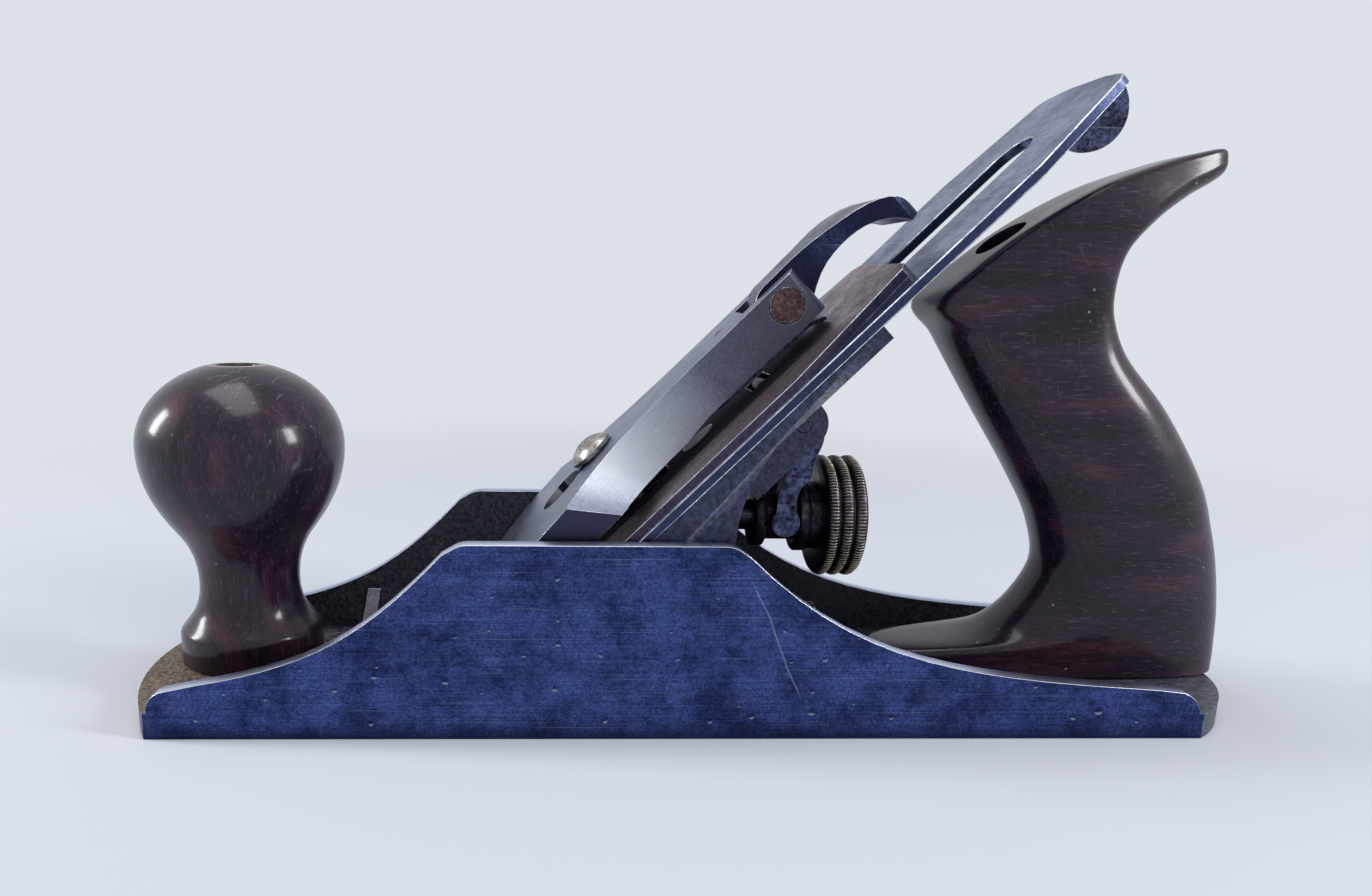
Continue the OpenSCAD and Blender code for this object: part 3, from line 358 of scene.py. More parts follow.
# Pins and rivets have a brown skin
brown_steel = metal_surface(
    "browned_pin_steel", "#67504f", "#4a3639", "#93847c", rough=0.45, patina_mm=4, grain_mm=0.7,
    mottle=0.6, lines=0.1)
# Nickel plate with a yellowed bloom
nickel = metal_surface(
    "worn_nickel_plate", "#b4b1ac", "#7d766c", "#f1efea", rough=0.26, patina_mm=4, lines=0.1,
    pits=0.6)
# Brass with a dark skin
wheel_brass = metal_surface(
    "darkened_brass", "#48424c", "#2b2731", "#8f8168", rough=0.42, patina_mm=5)
# The crests of the knurling, where fingers keep the brass yellow
crest_brass = metal_surface(
    "handled_brass_crests", "#c4bca4", "#84806f", "#ece6d2", rough=0.36, patina_mm=7, lines=0.1)
# Brass nuts that have tarnished deep in their holes
nut_brass = metal_surface(
    "tarnished_nut_brass", "#54462f", "#2c241a", "#a58d5c", rough=0.42, patina_mm=4)
# Corners that hands and the bench keep bright
bright_corner = metal_surface(
    "bright_steel_corner", "#dfe2e8", "#9a9eaa", "#f7f8fa", rough=0.32, patina_mm=5, mottle=0.6,
    lines=0.1)
# Corners of dark pieces, where the black has rubbed off
rubbed_corner = metal_surface(
    "rubbed_black_corner", "#7c808b", "#3b3c43", "#b9bcc2", rough=0.38, patina_mm=4, mottle=0.7,
    lines=0.1)
METAL_WORDS = ("steel", "iron", "brass")
print("metals:", sum(any(w in m.name for w in METAL_WORDS) for m in bpy.data.materials))

# %% [markdown]
# The lever cap isn't one even grey. Its flared sides at the low end carry a painted highlight, its
# lip carries painted shade, and its sides turn grey brown towards the narrow neck. How far a point
# lies up the bed decides between them, which is a dot product of its place with the bed's
# direction.
# %% Painted highlight of the flare, painted shade of the lip, and brown neck of the lever cap
BED_UP = Vector((1, 0, 1)).normalized()
LIP_FROM, LIP_TO = 25 * MM, 22 * MM
NECK_FROM, NECK_TO = 30 * MM, 66 * MM
FLARE_FROM, FLARE_TO = 52 * MM, 20 * MM


def up_bed(tree, place):
    """How far a point lies up the bed, in metres from the origin."""
    along = add(tree, "ShaderNodeVectorMath", {1: BED_UP}, {0: place}, operation="DOT_PRODUCT")
    return along.outputs["Value"]


def tint_all(tree, shader, layers):
    """Lays tints over a shader's colour. Each layer is a share and a hex value."""
    skin = shader.inputs["Base Color"].links[0].from_socket
    for share, colour in layers:
        skin = tint(tree, share, skin, colour)
    tree.links.new(skin, shader.inputs["Base Color"])


tree, shader, place = reopen(lever_cap_iron)
height = up_bed(tree, place)
sideways = maths(tree, "ABSOLUTE", facing(tree)["Y"])
on_side = ramp(tree, sideways, 0.55, 0.8)
flat_side = ramp(tree, sideways, 0.975, 0.99)
shaded_lip = maths(tree, "MULTIPLY", flat_side, ramp(tree, height, LIP_FROM, LIP_TO))
is_neck = maths(tree, "MULTIPLY", on_side, ramp(tree, height, NECK_FROM, NECK_TO, high=0.8))
is_flare = ramp(tree, height, FLARE_FROM, FLARE_TO, high=0.85)
flare_highlight = maths(tree, "MULTIPLY", on_side, is_flare, maths(tree, "SUBTRACT", 1.0, shaded_lip))
# Painted shade on the lip and a painted highlight on the flared sides; the sides turn grey brown
# towards the neck
tint_all(tree, shader, ((is_neck, "#46404e"), (shaded_lip, "#3a3c50"), (flare_highlight, "#e4e7ee")))
print("neck browns above, mm up the bed:", round(NECK_FROM / MM))

# %% [markdown]
# Where the lever cap covers the cap iron, it casts a shadow. Only a strip along each long edge, and
# the top end that sticks out, are lit. A dark band down the middle, whose borders lie a set
# distance from the long edges, is that shadow painted on.
# %% Painted shadow of the lever cap on the cap iron
LIT_STRIP = 10.5 * MM
COVER_END, COVER_FADED = 78 * MM, 70 * MM
LIP_END, LIP_FADED = -19 * MM, -14 * MM
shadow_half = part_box("cap_iron")[1].y - LIT_STRIP
tree, shader, place = reopen(cap_iron_steel)
height = up_bed(tree, place)
away = maths(tree, "ABSOLUTE", axes(tree, place)["Y"])
is_middle = ramp(tree, away, shadow_half + 0.6 * MM, shadow_half - 1.2 * MM, high=0.92)
is_covered = ramp(tree, height, COVER_END, COVER_FADED)
is_above_lip = ramp(tree, height, LIP_END, LIP_FADED)
lever_cap_shadow = maths(tree, "MULTIPLY", is_covered, is_above_lip, is_middle)
# Painted shadow: the band under the lever cap is darkened
tint_all(tree, shader, ((lever_cap_shadow, "#16182c"),))
# The band of painted shadow is made rougher too
dull_share = maths(tree, "MULTIPLY", lever_cap_shadow, 0.85)
dulled = maths(tree, "MAXIMUM", shader.inputs["Roughness"].links[0].from_socket, dull_share)
tree.links.new(dulled.outputs[0], shader.inputs["Roughness"])
# The width printed is that of the band of painted shadow
print("blued band, mm wide:", round(2 * shadow_half / MM, 1))

# %% [markdown]
# A working life leaves small dents in an iron cheek. Each is a cup at the middle of a Voronoi cell,
# with painted shade in the cup and a painted highlight along its lower edge. The pattern is flat,
# on
# X and Z, so that every cup cuts the cheek's face. The one long scratch is drawn from how far a
# point lies from its bowed line.
# %% Dents and one long scratch
DENTS_APART = 7 * MM
LEAST_DENT, LARGEST_DENT = 0.35 * MM, 1.1 * MM
DENT_BEND = 1.6 * MM
LONG_SCRATCH = ((12.3, 31.5), (22.6, 7.6))
SCRATCH_BOW = 3.0 * MM


def dents(tree, place, at):
    """Masks of the whole cups, for their painted shade, and of their lower edges, for a painted
    highlight.
    """
    on_face = add(tree, "ShaderNodeCombineXYZ", links={"X": at["X"], "Y": at["Z"]})
    bend = noise(tree, place, 3 * MM, 2.0).outputs["Color"]
    bent = add(tree, "ShaderNodeVectorMath", {1: (DENT_BEND, DENT_BEND, 0)},
               {0: bend, 2: on_face}, operation="MULTIPLY_ADD")
    cells = add(tree, "ShaderNodeTexVoronoi", {"Scale": 1 / DENTS_APART},
                {"Vector": bent}, voronoi_dimensions="2D").outputs
    # A cell's random colour says whether it has a cup, and how large
    chance = add(tree, "ShaderNodeSeparateColor", links={0: cells["Color"]}).outputs
    has_cup = maths(tree, "GREATER_THAN", chance[0], 0.6)
    per_radius = ramp(tree, chance[1], 0, 1, 1 / LEAST_DENT, 1 / LARGEST_DENT)
    from_middle = add(tree, "ShaderNodeVectorMath", links={0: bent, 1: cells["Position"]},
                      operation="SUBTRACT")
    in_radii = add(tree, "ShaderNodeVectorMath", links={0: from_middle, "Scale": per_radius},
                   operation="SCALE")
    far = add(tree, "ShaderNodeVectorMath", links={0: in_radii}, operation="LENGTH")
    cup = maths(tree, "MULTIPLY", ramp(tree, far.outputs["Value"], 1.0, 0.7), has_cup)
    lower_edge = ramp(tree, axes(tree, in_radii)["Y"], -0.15, -0.5)
    return cup, maths(tree, "MULTIPLY", cup, lower_edge)


def long_scratch(tree, place, height):
    """Mask of the long scratch, on every face that its line meets."""
    (x0, z0), (x1, z1) = LONG_SCRATCH
    reach = math.hypot(x1 - x0, z1 - z0)
    across = ((z1 - z0) / reach, 0, (x0 - x1) / reach)
    off = add(tree, "ShaderNodeVectorMath", {1: across}, {0: place}, operation="DOT_PRODUCT")
    bow = maths(tree, "MULTIPLY", noise(tree, place, 14 * MM, 1.0), SCRATCH_BOW)
    line_off = (x0 * (z1 - z0) - z0 * (x1 - x0)) / reach * MM + SCRATCH_BOW / 2
    bowed = maths(tree, "ADD", off.outputs["Value"], bow)
    from_line = maths(tree, "ABSOLUTE", maths(tree, "SUBTRACT", bowed, line_off))
    thin = ramp(tree, from_line, 0.2 * MM, 0.04 * MM, high=0.55)
    low_end = ramp(tree, height, z1 * MM, (z1 + 3) * MM)
    high_end = ramp(tree, height, z0 * MM, (z0 - 2) * MM)
    return maths(tree, "MULTIPLY", low_end, high_end, thin)


print("long scratch, mm:", round(math.dist(*LONG_SCRATCH), 1))

# %% [markdown]
# The frog and the inside of the bed are japanned, a baked black varnish that is nearly gone where
# shavings rub. The outside of the bed is ground iron. Both finishes live on one casting, so its
# material asks where a point lies.
# %% Japanned and ground casting
RIM_WIDE = 3.6
FLOOR_TOP = 7.2 * MM


def bare_casting(tree, bare, place, at, outer_mm, rim_mm, rim_colour):
    """Wears the ground iron, and gives the mask of where it lies bare: the outer faces, the sole,
    and the upper edges of the cheeks."""
    away = maths(tree, "ABSOLUTE", at["Y"])
    outside = ramp(tree, away, (outer_mm - 0.5) * MM, (outer_mm - 0.3) * MM)
    sole = ramp(tree, at["Z"], 0.5 * MM, 0.2 * MM)
    on_cheek = maths(tree, "GREATER_THAN", away, rim_mm * MM)
    above_floor = maths(tree, "GREATER_THAN", at["Z"], FLOOR_TOP)
    rim = maths(tree, "MULTIPLY", on_cheek, ramp(tree, facing(tree)["Z"], 0.25, 0.5), above_floor)
    # The rim is brightest along its outer edge and dulls towards the inner one
    rim_fade = ramp(tree, away, (outer_mm - 2.4) * MM, (outer_mm - 1.1) * MM, low=0.4)
    cup, lit_edge = dents(tree, place, at)
    near_side = maths(tree, "LESS_THAN", at["Y"], (0.5 - outer_mm) * MM)
    near_scratch = maths(tree, "MULTIPLY", long_scratch(tree, place, at["Z"]), near_side)
    # The foot of the cheek is darker towards the sole
    tint_all(tree, bare, (
        (ramp(tree, at["Z"], 3.5 * MM, 0.0, high=0.8), "#1b1e38"),
        # Painted shade in the dents, then a painted highlight on their lower edges, drawn with the
        # pale long scratch
        (maths(tree, "MULTIPLY", cup, 0.55), "#141a3a"),
        (maths(tree, "MULTIPLY", maths(tree, "MAXIMUM", lit_edge, near_scratch), 0.8), "#9aa2b6"),
        (maths(tree, "MULTIPLY", rim, rim_fade), rim_colour)))
    return maths(tree, "MAXIMUM", outside, sole, rim)


def worn_varnish(tree, place, at, varnish, earth, toe_mm):
    """Black varnish, rubbed to brown earth in patches, most of all towards the toe."""
    wear = noise(tree, place, 5 * MM, 8.0, 0.72)
    toe_rub = ramp(tree, at["X"], (toe_mm + 42) * MM, (toe_mm + 8) * MM, high=0.3)
    rubbed = ramp(tree, maths(tree, "ADD", wear, toe_rub), 0.56, 0.74)
    grit = noise(tree, place, 0.9 * MM, 3.0, 0.7)
    gritty = ramp(tree, grit, 0.36, 0.64)
    coat = tint(tree, rubbed, varnish, earth)
    coat = tint(tree, 0.9, coat, gritty, "SOFT_LIGHT")
    # A pale band crosses the floor just before the cross web
    band_front = ramp(tree, at["X"], (toe_mm + 40) * MM, (toe_mm + 43) * MM)
    band_back = ramp(tree, at["X"], (toe_mm + 54) * MM, (toe_mm + 52) * MM)
    low_down = ramp(tree, at["Z"], 9 * MM, 6 * MM)
    floor_band = maths(tree, "MULTIPLY", band_front, band_back, low_down, gritty)
    coat = tint(tree, floor_band, coat, "#a2988a")
    lumps = add(tree, "ShaderNodeBump", {"Strength": 0.4, "Distance": 0.25 * MM},
                {"Height": maths(tree, "ADD", wear, grit)})
    dulled = ramp(tree, rubbed, 0, 1, 0.4, 0.7)
    return add(tree, "ShaderNodeBsdfPrincipled", {"Specular IOR Level": 0.4},
               {"Base Color": coat, "Roughness": dulled, "Normal": lumps})


def japanned_casting(name, iron, iron_dark, varnish, earth, rim_colour, outer_mm, rim_mm, toe_mm):
    """Ground iron outside of outer_mm and under the sole, and worn black varnish elsewhere."""
    material = metal_surface(name, iron, iron_dark, "#8d94a6", rough=0.34, line_mm=(26, 26, 0.3),
                             patina_mm=10, grain_mm=0.42, lines=0.42, scratch=0.4, pits=0.15)
    tree, bare, place = reopen(material)
    surface = bare.outputs[0].links[0].to_socket
    at = axes(tree, place)
    is_bare = bare_casting(tree, bare, place, at, outer_mm, rim_mm, rim_colour)
    varnished = worn_varnish(tree, place, at, varnish, earth, toe_mm)
    both = add(tree, "ShaderNodeMixShader", links={0: is_bare, 1: varnished, 2: bare})
    tree.links.new(both.outputs[0], surface)
    return material


casting_low, casting_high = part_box("base_casting")
cheek_mm = casting_high.y / MM
BED_PLACES = (cheek_mm, cheek_mm - RIM_WIDE, casting_low.x / MM)
# The frog is never ground outside, so its bare iron starts beyond its own faces
FROG_PLACES = (60, 60, -400)
bed_iron = japanned_casting("japanned_and_ground_iron", "#414e84", "#262f58", "#3d3d4a", "#706153",
                            "#c4cbe0", *BED_PLACES)
bed_corner = japanned_casting("worn_casting_corner", "#8a94b6", "#565f82", "#43434e", "#6d6050",
                              "#e2e5eb", *BED_PLACES)
frog_iron = japanned_casting("japanned_frog_iron", "#434a72", "#272c48", "#292e4b", "#3d3c4e",
                             "#434a72", *FROG_PLACES)
frog_corner = japanned_casting("worn_frog_corner", "#949cba", "#484f70", "#666d8c", "#434152",
                               "#949cba", *FROG_PLACES)
print("cheek at y, mm:", round(cheek_mm, 2))

# %% [markdown]
# Rosewood is a dark, oily tropical wood. Its colour runs from nearly black to purple brown in bands
# along the grain, with short open pores that stay dark. A century of hands polished it, so a thin
# clear coat lies over it, and pale scratches and dents cross that coat.
# %% Scratches and knocks in wood
# The turn of each set of scratches, how far apart they lie and how long their strokes are
SCRATCH_SETS = (((0.1, 0.25, 0.3), 2.1, 2.4), ((0.2, -0.12, 0.9), 2.9, 2.0),
                ((-0.1, 0.62, 1.2), 3.7, 3.0))
KNOCKS_APART = 5 * MM


def wood_scratches(tree, place, strokes, hand_mm):
    """The crests of bent waves are thin lines. One noise cuts them into strokes, and another keeps
    them in patches, between two heights."""
    height = axes(tree, place)["Z"]
    above = ramp(tree, height, (hand_mm[0] - 6) * MM, (hand_mm[0] + 4) * MM)
    below = ramp(tree, height, (hand_mm[1] + 5) * MM, (hand_mm[1] - 3) * MM)
    in_patch = ramp(tree, noise(tree, place, 13 * MM, 3.0, 0.6), 0.47, 0.6, high=strokes)
    cuts = []
    for turn, apart_mm, stroke_mm in SCRATCH_SETS:
        turned = add(tree, "ShaderNodeMapping", {"Rotation": turn}, {"Vector": place})
        # A wave of scale 1 repeats every pi/10 units
        waves = add(tree, "ShaderNodeTexWave", {
            "Scale": math.pi / 10 / (apart_mm * MM), "Distortion": 6.0, "Detail": 1.0,
            "Detail Scale": 0.6}, {"Vector": turned})
        thin = ramp(tree, waves.outputs["Fac"], 0.984, 1.0)
        stroke = ramp(tree, noise(tree, turned, stroke_mm * MM, 1.0), 0.52, 0.62)
        cuts.append(maths(tree, "MULTIPLY", thin, stroke))
    in_hand = maths(tree, "MULTIPLY", above, below, in_patch)
    return maths(tree, "MULTIPLY", maths(tree, "MAXIMUM", *cuts), in_hand)


def wood_knocks(tree, place):
    """Small pale knocks, a quarter of a millimetre across, one every centimetre or so."""
    cells = add(tree, "ShaderNodeTexVoronoi", {"Scale": 1 / KNOCKS_APART},
                {"Vector": place}).outputs
    chance = add(tree, "ShaderNodeSeparateColor", links={0: cells["Color"]})
    has_knock = maths(tree, "GREATER_THAN", chance, 0.6)
    return maths(tree, "MULTIPLY", ramp(tree, cells["Distance"], 0.065, 0.035, high=0.8),
                 has_knock)


print("sets of scratches:", len(SCRATCH_SETS))

# %% [markdown]
# The wood's figure is noise that is stretched along the grain. The same noise, some sixteen times
# finer, gives open pores on its dark side and pale streaks on its light side.
# %% Rosewood
PORE_MM = 0.45
# Where along the figure each tone lies
TONES = ((0.36, "#140e1b"), (0.52, "#29192b"), (0.7, "#4d2c3c"))


def rosewood(name, grain_mm, band_mm, strokes, gloss, hand_mm, grey_top=0.0):
    """Oiled rosewood. grain_mm is how long its figure is along X, Y and Z, for bands of band_mm.
    Hands scratched it between the two heights of hand_mm."""
    material, tree, place = new_material(name)
    stretch = [1 / (length * MM) for length in grain_mm]
    along = add(tree, "ShaderNodeMapping", {"Scale": stretch, "Rotation": (0, 0.12, 0.06)},
                {"Vector": place})
    bands = noise(tree, along, 1.0, 6.0, 0.6, 0.5)
    pores = noise(tree, along, PORE_MM / band_mm, 3.0, 0.6)
    tone = add(tree, "ShaderNodeValToRGB", links={0: bands})
    stops = tone.color_ramp.elements
    stops.new(0.5)
    for i, (position, colour) in enumerate(TONES):
        stops[i].position = position
        stops[i].color = linear(colour)
    wood = tint(tree, ramp(tree, pores, 0.52, 0.68, high=0.75), tone, "#0b0709")
    wood = tint(tree, ramp(tree, pores, 0.42, 0.28, high=0.6), wood, "#665260")
    # Flats that face straight up are greyed
    skyward = ramp(tree, facing(tree)["Z"], 0.985, 0.998, high=grey_top)
    wood = tint(tree, maths(tree, "MULTIPLY", skyward, bands), wood, "#8f857c")
    hurt = maths(tree, "MAXIMUM", wood_scratches(tree, place, strokes, hand_mm),
                 wood_knocks(tree, place))
    wood = tint(tree, hurt, wood, "#a3928f")
    bump = add(tree, "ShaderNodeBump", {"Strength": 0.14, "Distance": 0.1 * MM},
               {"Height": maths(tree, "ADD", pores, hurt)}, invert=True)
    shader = add(
        tree, "ShaderNodeBsdfPrincipled",
        {"IOR": 1.5, "Specular IOR Level": 0.12, "Coat Weight": gloss, "Coat Roughness": 0.15},
        {"Base Color": wood, "Roughness": ramp(tree, bands, 0.3, 0.7, 0.26, 0.42), "Normal": bump})
    add(tree, "ShaderNodeOutputMaterial", links={"Surface": shader})
    return material


# The knob's grain stands upright, and the handle's runs from heel to toe
knob_wood = rosewood("turned_rosewood", (7, 7, 45), 7, 0.62, 0.5, (54, 68), grey_top=1.0)
handle_wood = rosewood("carved_rosewood", (60, 8, 8), 8, 0.1, 0.42, (45, 110))
print("woods:", knob_wood.name, handle_wood.name)

# %% [markdown]
# The exact pieces have knife-sharp corners, which no tool keeps. A copy of each is merged into one
# closed skin, its flat faces are joined, and a Bevel modifier rounds the corners. Its hardened
# normals keep the large faces flat, as a grindstone left them. Hands rub the corners bright, so the
# rounded strips of outward corners get a brighter metal of their own. The copy then stands for the
# exact piece, and moves with the same body.
# %% Plain mesh from live modifiers, and softened copies
SKIN, CORNER = 0, 1
SHARP = math.radians(32)


def bake(piece):
    """Turns a piece with live modifiers into a plain mesh at the origin."""
    bpy.context.view_layer.update()
    ready = piece.evaluated_get(bpy.context.evaluated_depsgraph_get())
    mesh = bpy.data.meshes.new_from_object(ready)
    mesh.transform(piece.matrix_world)
    old = piece.data
    piece.modifiers.clear()
    piece.data = mesh
    piece.matrix_world = Matrix.Identity(4)
    if old.users == 0:
        bpy.data.meshes.remove(old)


def stand_for(piece, node):
    """The piece rides on the node's body, and stands for it."""
    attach(piece, frame["nodes"][node]["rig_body"])
    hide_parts(node)


def soften(node, material, corner, width_mm, carve=None):
    """A softened copy of a node: closed skin, flat faces joined, corners rounded and rubbed."""
    mesh = bpy.data.meshes.new(node + "_skin")
    bm = bmesh.new()
    bm.from_mesh(frame["nodes"][node].data)
    bmesh.ops.remove_doubles(bm, verts=bm.verts, dist=0.004 * MM)
    bmesh.ops.dissolve_limit(bm, angle_limit=math.radians(1.0), verts=bm.verts, edges=bm.edges)
    if carve:
        carve(bm)
    for face in bm.faces:
        face.smooth = True
        face.material_index = SKIN
    bm.to_mesh(mesh)
    bm.free()
    mesh.materials.append(material)
    mesh.materials.append(corner)
    mesh.set_sharp_from_angle(angle=SHARP)
    piece = place_object(node + "_skin", mesh)
    rounding = piece.modifiers.new("rounding", "BEVEL")
    rounding.width = width_mm * MM
    rounding.segments = 2
    rounding.limit_method = "ANGLE"
    rounding.angle_limit = SHARP
    rounding.harden_normals = True
    rounding.material = CORNER
    bake(piece)
    # A strip in an inner corner is never rubbed
    bm = bmesh.new()
    bm.from_mesh(piece.data)
    inner = [face.index for face in bm.faces if face.material_index == CORNER
             and sum(edge.calc_face_angle_signed(0.0) for edge in face.edges) <= 0]
    bm.free()
    for index in inner:
        piece.data.polygons[index].material_index = SKIN
    stand_for(piece, node)


print("sharp beyond, degrees:", round(math.degrees(SHARP)))

# %% [markdown]
# On the real lever cap the crease below each flare is filed level with the sole, not square to the
# bed. Points of the flare slide along the bed for it: those near the cap iron go up, and those of
# the upper face go down. The slide fades out towards the end of the flare.
# %% Lean of the lever cap's flare
FLARE_START, FLARE_LEN = 16.97 * MM, 24 * MM
CAP_UNDER, CAP_UPPER = 38.9 * MM, 47.3 * MM
MIDDLE_HALF = 7 * MM
SLIDE_UP, SLIDE_DOWN = 4.7 * MM, 2.1 * MM


def lean_flare(bm):
    """Slides the points of the flare along the bed, apart from those of the middle."""
    for vertex in bm.verts:
        up = vertex.co.dot(BED_UP)
        off = (vertex.co.z - vertex.co.x) / math.sqrt(2)
        share = (up - FLARE_START) / FLARE_LEN
        if abs(vertex.co.y) < MIDDLE_HALF or share < -0.01 or share > 1:
            continue
        outward = min(max((off - CAP_UNDER) / (CAP_UPPER - CAP_UNDER), 0), 1)
        slide = SLIDE_UP - (SLIDE_UP + SLIDE_DOWN) * outward
        vertex.co += BED_UP * slide * (1 - max(share, 0))


print("crease leans over, mm:", round((SLIDE_UP + SLIDE_DOWN) / MM, 1))

# %% [markdown]
# Each piece gets its metal, the metal of its corners, and how many millimetres of them wear away.
# Small pieces that hardly show keep their exact shape and get only a metal.
# %% Softened pieces
SOFTENED = {
    "base_casting": (bed_iron, bed_corner, 0.4),
    "frog": (frog_iron, frog_corner, 0.22),
    "cutter": (cutter_steel, bright_corner, 0.25),
    "cap_iron": (cap_iron_steel, bright_corner, 0.22),
    "lever_cap": (lever_cap_iron, bright_corner, 0.25),
    "cam_lever": (cam_iron, bright_corner, 0.25),
    "cam_pin": (brown_steel, rubbed_corner, 0.25),
    "lever_cap_screw": (nickel, bright_corner, 0.2),
    "cap_iron_screw": (dull_steel, rubbed_corner, 0.2),
    "yoke_lever": (black_steel, rubbed_corner, 0.4),
    "yoke_pin": (frog_iron, frog_iron, 0.2),
    "lateral_lever": (black_steel, rubbed_corner, 0.2),
    "frog_screws": (dull_steel, rubbed_corner, 0.2),
    "frog_washers": (dull_steel, rubbed_corner, 0.15),
    "frog_fork": (dull_steel, rubbed_corner, 0.2),
    "frog_adjusting_screw": (dull_steel, rubbed_corner, 0.2),
    "knob_nut": (nut_brass, nut_brass, 0.2),
    "handle_nut": (nut_brass, nut_brass, 0.2),
    "cap_spring": (black_steel, black_steel, 0.1),
}
EXACT = dict.fromkeys(("knob_stud", "handle_stud", "depth_stud", "lateral_roller", "spring_rivet",
                       "frog_fork_screw"), dull_steel)
EXACT |= {"lateral_pivot": brown_steel, "roller_rivet": brown_steel}
CARVED = {"lever_cap": lean_flare}
for node, (material, corner, width_mm) in SOFTENED.items():
    soften(node, material, corner, width_mm, CARVED.get(node))
for node, material in EXACT.items():
    frame["nodes"][node].data.materials.clear()
    frame["nodes"][node].data.materials.append(material)
print("softened pieces:", len(SOFTENED), "exact pieces:", len(EXACT))

# %% [markdown]
# Turned and carved pieces are both rings of points, joined one to the next like slices of a loaf.
# On a lathe the rings are circles, and spinning an outline in fine steps gives the true surface.
# %% Rings, and a lathe
def join_rings(bm, rings, sides):
    """Faces between each ring and the next. A ring of one point is a tip."""
    for one, two in zip(rings, rings[1:]):
        for i in range(sides):
            k = (i + 1) % sides
            corners = [one[i % len(one)], one[k % len(one)], two[k % len(two)], two[i % len(two)]]
            bm.faces.new(list(dict.fromkeys(corners)))


def smooth_piece(bm, name, material):
    """An object with smooth faces that look outwards, from a bmesh that it uses up."""
    bmesh.ops.recalc_face_normals(bm, faces=bm.faces)
    for face in bm.faces:
        face.smooth = True
    mesh = bpy.data.meshes.new(name)
    bm.to_mesh(mesh)
    bm.free()
    mesh.materials.append(material)
    return place_object(name, mesh)


def polar(radius, degrees):
    """A point on a circle."""
    return radius * math.cos(math.radians(degrees)), radius * math.sin(math.radians(degrees))


def lathe(name, outline, axis_at, material, steps=96):
    """Spins an outline of radius and height, in mm, round an upright axis into a closed solid."""
    bm = bmesh.new()
    rings = []
    for radius, height in outline:
        points = [polar(radius, 360 * i / steps) for i in range(steps if radius else 1)]
        rings.append([bm.verts.new(((axis_at[0] + x) * MM, (axis_at[1] + y) * MM, height * MM))
                      for x, y in points])
    join_rings(bm, rings, steps)
    bmesh.ops.remove_doubles(bm, verts=bm.verts, dist=0.001 * MM)
    piece = smooth_piece(bm, name, material)
    piece.data.set_sharp_from_angle(angle=math.radians(50))
    return piece


print("a quarter turn ends at:", [round(n) for n in polar(1, 90)])

# %% [markdown]
# The front knob is turned: a round foot, a narrow waist for the fingers and a flattened ball for
# the palm. Its outline is three Bezier curves and an arc. A flat at the top is counterbored for the
# brass nut.
# %% Turned front knob
def bezier(a, b, c, d, steps):
    """Points on a cubic Bezier curve, its ends included."""
    return [tuple((1 - t) ** 3 * p + 3 * (1 - t) ** 2 * t * q + 3 * (1 - t) * t * t * r + t ** 3 * s
                  for p, q, r, s in zip(a, b, c, d)) for t in (i / steps for i in range(steps + 1))]


knob_low, knob_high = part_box("front_knob")
knob_at = [(low + high) / 2 / MM for low, high in zip(knob_low[:2], knob_high[:2])]
knob_base = knob_low.z / MM
knob_tall = (knob_high.z - knob_low.z) / MM
ball = (knob_high.x - knob_low.x) / 2 / MM
FOOT, WAIST, WAIST_UP, BELLY = 14.4, 10.1, 16.6, 45.0
# Where the waist's curve passes over into the ball's
NECK, NECK_UP = WAIST + 3.5, BELLY - 17.4
NUT_HOLE, NUT_DEEP = 3.98, 4
# The arc would end a little above the flat
ball_rise = (knob_tall - BELLY) * 1.04
knob_arc = [(ball * x, BELLY + ball_rise * y) for x, y in (polar(1, a) for a in range(4, 73, 4))]
knob_outline = (
    [(0, 0), (FOOT - 0.5, 0), (FOOT, 0.5), (FOOT, 6.3), (FOOT - 0.12, 6.8)]
    + bezier((FOOT - 0.5, 7.4), (FOOT - 2.6, 9.9), (WAIST, WAIST_UP - 4.6), (WAIST, WAIST_UP), 16)
    + bezier((WAIST, WAIST_UP), (WAIST, WAIST_UP + 4.4), (WAIST + 1.1, WAIST_UP + 7.8),
             (NECK, NECK_UP), 14)[1:]
    + bezier((NECK, NECK_UP), (NECK + 2.9, BELLY - 13.5), (ball, BELLY - 8), (ball, BELLY), 16)[1:]
    + knob_arc
    + [(polar(ball, 73.6)[0], knob_tall - 0.05), (NUT_HOLE + 0.32, knob_tall),
       (NUT_HOLE, knob_tall - 0.3), (NUT_HOLE, knob_tall - NUT_DEEP), (0, knob_tall - NUT_DEEP)])
knob = lathe("knob_turned", [(r, knob_base + h) for r, h in knob_outline], knob_at, knob_wood)
stand_for(knob, "front_knob")
print("knob, mm across:", round(2 * ball, 1), "tall:", round(knob_tall, 1))

